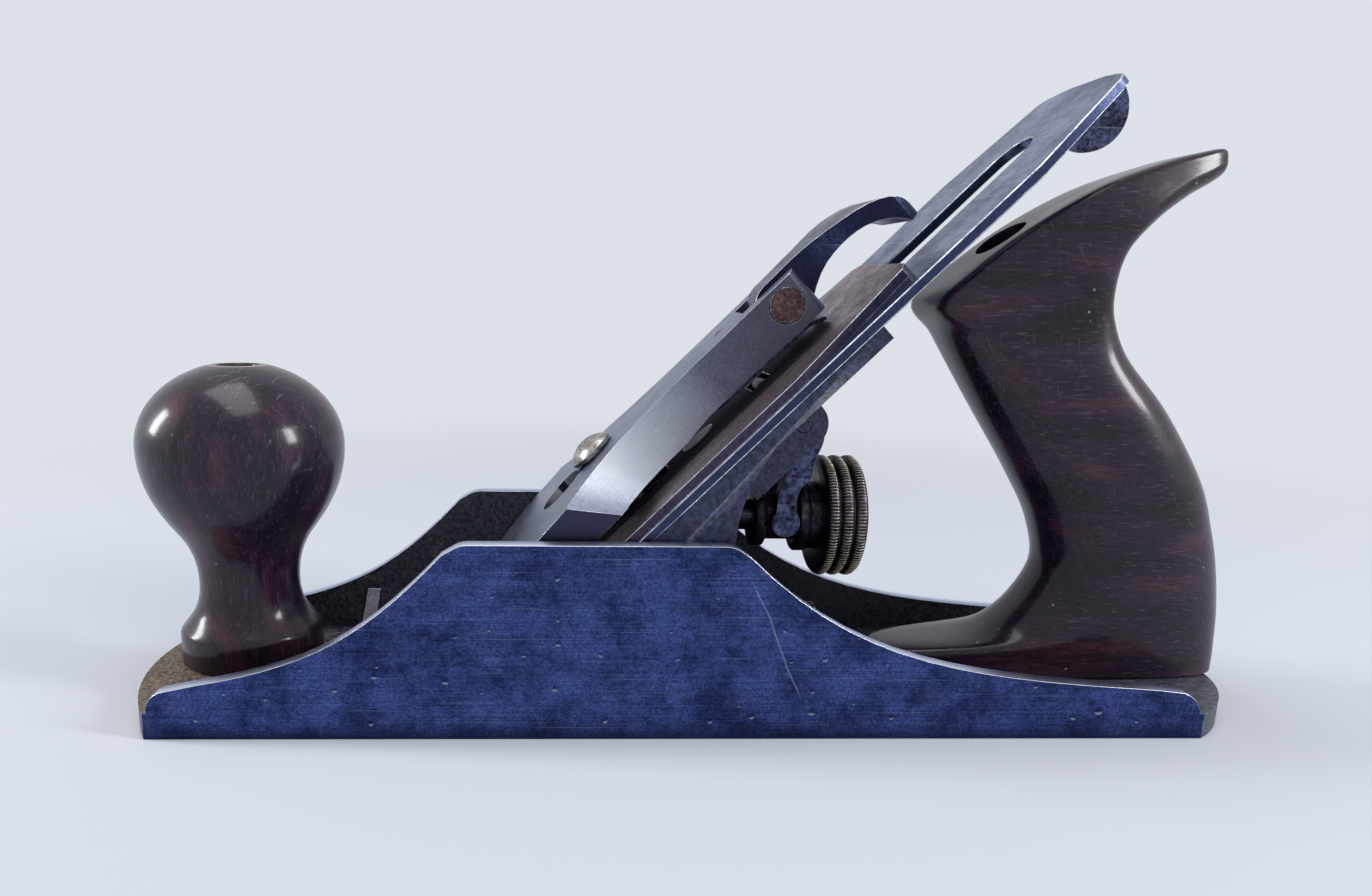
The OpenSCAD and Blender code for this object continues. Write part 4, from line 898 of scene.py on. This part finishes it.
# %% [markdown]
# The rear handle is sawn from a board and then rounded with a rasp. Its sides stay flat, its front
# and back edges are rounded for the hand, and a horn at the top keeps the hand from sliding up. Its
# slices follow the hand's path. Each has its front edge and its back edge as X and Z, half its
# thickness as a share, and how square its corners are. A smooth spline fills in between.
# %% Carved rear handle
HANDLE_SLICES = [
    (0, 0, 75.6, 0, 0.42, 3.4), (2, 5.2, 75.8, 4.5, 0.44, 3), (24, 8.8, 75.2, 13, 0.46, 2.6),
    (34.6, 20.5, 73.4, 22.5, 0.48, 2.4), (33.6, 31, 71, 31, 0.5, 2.3),
    (27.6, 42, 67, 41.5, 0.5, 2.3), (17.6, 57, 57.6, 55.5, 0.49, 2.4),
    (9.5, 70, 47.3, 66.3, 0.46, 3), (6.3, 76.4, 42.9, 73.3, 0.43, 4.5),
    (12, 82.6, 41.8, 79.6, 0.42, 5), (22.5, 91, 43.4, 86.8, 0.41, 4.4),
    (36, 99, 48.8, 92.7, 0.37, 3.2), (49, 103.8, 55.4, 97.4, 0.27, 2.4),
    (57, 105.8, 59.8, 99.9, 0.19, 2.2), (61.4, 106.6, 62.6, 101.8, 0.12, 2),
    (63.2, 105.8, 63.2, 103.5, 0.05, 2),
]
HANDLE_THICK = 23
SIDES, PER_SLICE = 80, 7
# The flat top keeps its crisp edges, so from this slice on a slice is squarer in front
CRISP_FROM, CRISPER = 7.2, 1.8
# Corners of a squarish slice get more points than its flats
CROWDING = 0.16


def slice_between(slices, t):
    """Catmull-Rom spline through the slices."""
    k = min(int(t), len(slices) - 2)
    u = t - k
    four = slices[max(k - 1, 0)], slices[k], slices[k + 1], slices[min(k + 2, len(slices) - 1)]
    return [0.5 * (2 * q + u * (r - p) + u * u * (2 * p - 5 * q + 4 * r - s)
                   + u ** 3 * (3 * q - p - 3 * r + s)) for p, q, r, s in zip(*four)]


def squarish(value, square):
    """A sine or cosine, bent so that a round slice becomes a square one with soft corners."""
    return math.copysign(abs(value) ** (2 / square), value)


handle_low, handle_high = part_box("rear_handle")
bm = bmesh.new()
rings = []
for i in range((len(HANDLE_SLICES) - 1) * PER_SLICE + 1):
    front_x, front_z, back_x, back_z, half, square = slice_between(HANDLE_SLICES, i / PER_SLICE)
    crisp = square * (1 + CRISPER * min(max(i / PER_SLICE - CRISP_FROM, 0), 1))
    ring = []
    for j in range(SIDES):
        turn = 2 * math.pi * (j + 0.5) / SIDES
        turn -= CROWDING * math.sin(4 * turn)
        corner = crisp if math.cos(turn) < 0 else square
        back = 0.5 + squarish(math.cos(turn), corner) / 2
        across = squarish(math.sin(turn), corner) * half * HANDLE_THICK * MM
        ring.append(bm.verts.new((handle_low.x + (front_x + (back_x - front_x) * back) * MM, across,
                                  handle_low.z + (front_z + (back_z - front_z) * back) * MM)))
    rings.append(ring)
join_rings(bm, rings, SIDES)
bm.faces.new(list(reversed(rings[0])))
bm.faces.new(rings[-1])
handle = smooth_piece(bm, "handle_carved", handle_wood)
print("handle faces:", len(handle.data.polygons))

# %% [markdown]
# A long bolt goes down through the handle. Its hole breaks out of the sloping top as an oval, wide
# enough for the brass nut. A Boolean modifier drills it, along the line that the bolt itself has.
# %% Bolt hole in the handle
# Radius of each drill, and how far it reaches below and above the nut, in mm
DRILLS = ((3.5, 110, 10), (5.2, 3.4, 40))
nut_low, nut_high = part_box("handle_nut")
bolt_low, bolt_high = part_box("handle_stud")
bolt_lean = math.atan2(bolt_high.x - bolt_low.x, bolt_high.z - bolt_low.z)
bolt_up = Vector((-math.sin(bolt_lean), 0, math.cos(bolt_lean)))
drill_mesh = bpy.data.meshes.new("drill")
bm = bmesh.new()
for radius, reach_down, reach_up in DRILLS:
    rod = bmesh.ops.create_cone(bm, cap_ends=True, segments=48, radius1=radius * MM,
                                radius2=radius * MM, depth=(reach_down + reach_up) * MM)
    for vertex in rod["verts"]:
        vertex.co.z += (reach_up - reach_down) / 2 * MM
bm.to_mesh(drill_mesh)
bm.free()
drill = place_object("drill", drill_mesh)
drill.matrix_world = (Matrix.Translation((nut_low + nut_high) / 2)
                      @ bolt_up.to_track_quat("Z", "Y").to_matrix().to_4x4())
drilling = handle.modifiers.new("drilling", "BOOLEAN")
drilling.object = drill
drilling.operation = "DIFFERENCE"
drilling.solver = "EXACT"
drilling.use_self = True
bake(handle)
bpy.data.objects.remove(drill)
handle.data.set_sharp_from_angle(angle=math.radians(48))
stand_for(handle, "rear_handle")
print("bolt leans, degrees:", round(math.degrees(bolt_lean), 1))

# %% [markdown]
# The depth wheel is brass and turned too: a grooved hub for the yoke's fork, then a rim with three
# round ribs. Its outline starts and ends at the bore, which closes it into a ring. The same lathe
# spins it upright, and the mesh is then laid over along the stud.
# %% Turned depth wheel
wheel_low, wheel_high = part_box("depth_wheel")
wheel_r = (wheel_high.z - wheel_low.z) / 2 / MM
wheel_len = (wheel_high.x - wheel_low.x) / MM
wheel_place = (Matrix.Translation((wheel_low.x, 0, (wheel_low.z + wheel_high.z) / 2))
               @ Matrix.Rotation(math.radians(90), 4, "Y"))
BORE, CORE, COLLAR, HUB, DISH = 3.26, 5.1, 6.5, 7.5, 9.95
RIBS, RIB_PITCH, RIB_R, TOOTH = 3, 2.767, 1.27, 0.22
EDGE = 0.2
# The core stands 0.6 mm proud of the rim
rim_end = wheel_len - 0.6
rim_start = rim_end - RIBS * RIB_PITCH
crest_ring = wheel_r - RIB_R
rib_round = RIB_R - TOOTH / 2
wheel_outline = [
    (BORE, 0), (COLLAR - EDGE, 0), (COLLAR, EDGE), (COLLAR, 2.1), (COLLAR - EDGE, 2.3),
    (CORE, 2.3), (CORE, 8.9), (HUB - EDGE, 8.9), (HUB, 9.1), (HUB, 11), (HUB - EDGE, 11.2),
    (HUB - 0.5, 11.2), (HUB - 0.5, rim_start), (crest_ring - 0.5, rim_start)]
for i in range(RIBS):
    rib_at = rim_start + RIB_PITCH * (i + 0.5)
    for a in range(-84, 85, 12):
        wheel_outline.append((crest_ring + polar(rib_round, a)[0], rib_at + polar(RIB_R, a)[1]))
wheel_outline += [
    (crest_ring - 0.5, rim_end), (DISH, rim_end), (DISH, wheel_len - 2.2),
    (CORE, wheel_len - 2.2), (CORE, wheel_len - EDGE), (CORE - EDGE, wheel_len),
    (BORE, wheel_len), (BORE, 0)]
wheel = lathe("wheel_turned", wheel_outline, (0, 0), wheel_brass)
wheel.data.transform(wheel_place)
stand_for(wheel, "depth_wheel")
print("wheel, mm across:", round(2 * wheel_r, 1), "long:", round(wheel_len, 1))

# %% [markdown]
# A knurling tool presses fine straight teeth into the three ribs, so that a fingertip can turn the
# wheel. One tooth is an arc with a thin square section. Geometry Nodes repeat it from rib to rib
# and then round the wheel. The real teeth stand half a millimetre apart. These stand a little
# wider, because finer ones wouldn't show in a picture.
# %% Knurling by Geometry Nodes
TEETH = 116
KNURL_INPUTS = {
    "Teeth": ("NodeSocketInt", TEETH), "Ribs": ("NodeSocketInt", RIBS),
    "Rib Pitch": ("NodeSocketFloat", RIB_PITCH * MM),
    "Rib Radius": ("NodeSocketFloat", rib_round * MM),
    "Ring Radius": ("NodeSocketFloat", crest_ring * MM),
    "First Rib": ("NodeSocketFloat", (rim_start + RIB_PITCH / 2) * MM),
    "Tooth Size": ("NodeSocketFloat", TOOTH / 2 * MM),
    "Brass": ("NodeSocketMaterial", crest_brass),
}
knurling = bpy.data.node_groups.new("knurling", "GeometryNodeTree")
keys = {name: knurling.interface.new_socket(name=name, in_out="INPUT", socket_type=kind).identifier
        for name, (kind, _) in KNURL_INPUTS.items()}
knurling.interface.new_socket(name="Geometry", in_out="OUTPUT", socket_type="NodeSocketGeometry")
sizes = add(knurling, "NodeGroupInput").outputs
arc = add(knurling, "GeometryNodeCurveArc", {
    "Resolution": 8, "Start Angle": math.radians(-72), "Sweep Angle": math.radians(144)},
    {"Radius": sizes["Rib Radius"]})
section = add(knurling, "GeometryNodeCurvePrimitiveCircle", {"Resolution": 4},
              {"Radius": sizes["Tooth Size"]})
tooth = add(knurling, "GeometryNodeCurveToMesh", {"Fill Caps": True},
            {"Curve": arc, "Profile Curve": section})
out_there = add(knurling, "ShaderNodeCombineXYZ",
                links={"X": sizes["Ring Radius"], "Z": sizes["First Rib"]})
upright = add(knurling, "GeometryNodeTransform", {"Rotation": (math.radians(90), 0, 0)},
              {"Geometry": tooth, "Translation": out_there})
next_rib = add(knurling, "ShaderNodeCombineXYZ", links={"Z": sizes["Rib Pitch"]})
rib_line = add(knurling, "GeometryNodeMeshLine",
               links={"Count": sizes["Ribs"], "Offset": next_rib})
rib_set = add(knurling, "GeometryNodeInstanceOnPoints",
              links={"Points": rib_line, "Instance": upright})
spots = add(knurling, "GeometryNodePoints", links={"Count": sizes["Teeth"]})
turns = maths(knurling, "DIVIDE", add(knurling, "GeometryNodeInputIndex"), sizes["Teeth"])
angle = maths(knurling, "MULTIPLY", turns, 2 * math.pi)
round_axis = add(knurling, "ShaderNodeCombineXYZ", links={"Z": angle})
ring_set = add(knurling, "GeometryNodeInstanceOnPoints",
               links={"Points": spots, "Instance": rib_set, "Rotation": round_axis})
plain = add(knurling, "GeometryNodeRealizeInstances", links={0: ring_set})
dressed = add(knurling, "GeometryNodeSetMaterial",
              links={"Geometry": plain, "Material": sizes["Brass"]})
add(knurling, "NodeGroupOutput", links={0: dressed})

knurl = place_object("wheel_knurling", bpy.data.meshes.new("wheel_knurling"))
making = knurl.modifiers.new("knurling", "NODES")
making.node_group = knurling
for name, (_, value) in KNURL_INPUTS.items():
    making[keys[name]] = value
bake(knurl)
knurl.data.transform(wheel_place)
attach(knurl, frame["nodes"]["depth_wheel"]["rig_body"])
print("knurled teeth:", TEETH * RIBS, "faces:", len(knurl.data.polygons))
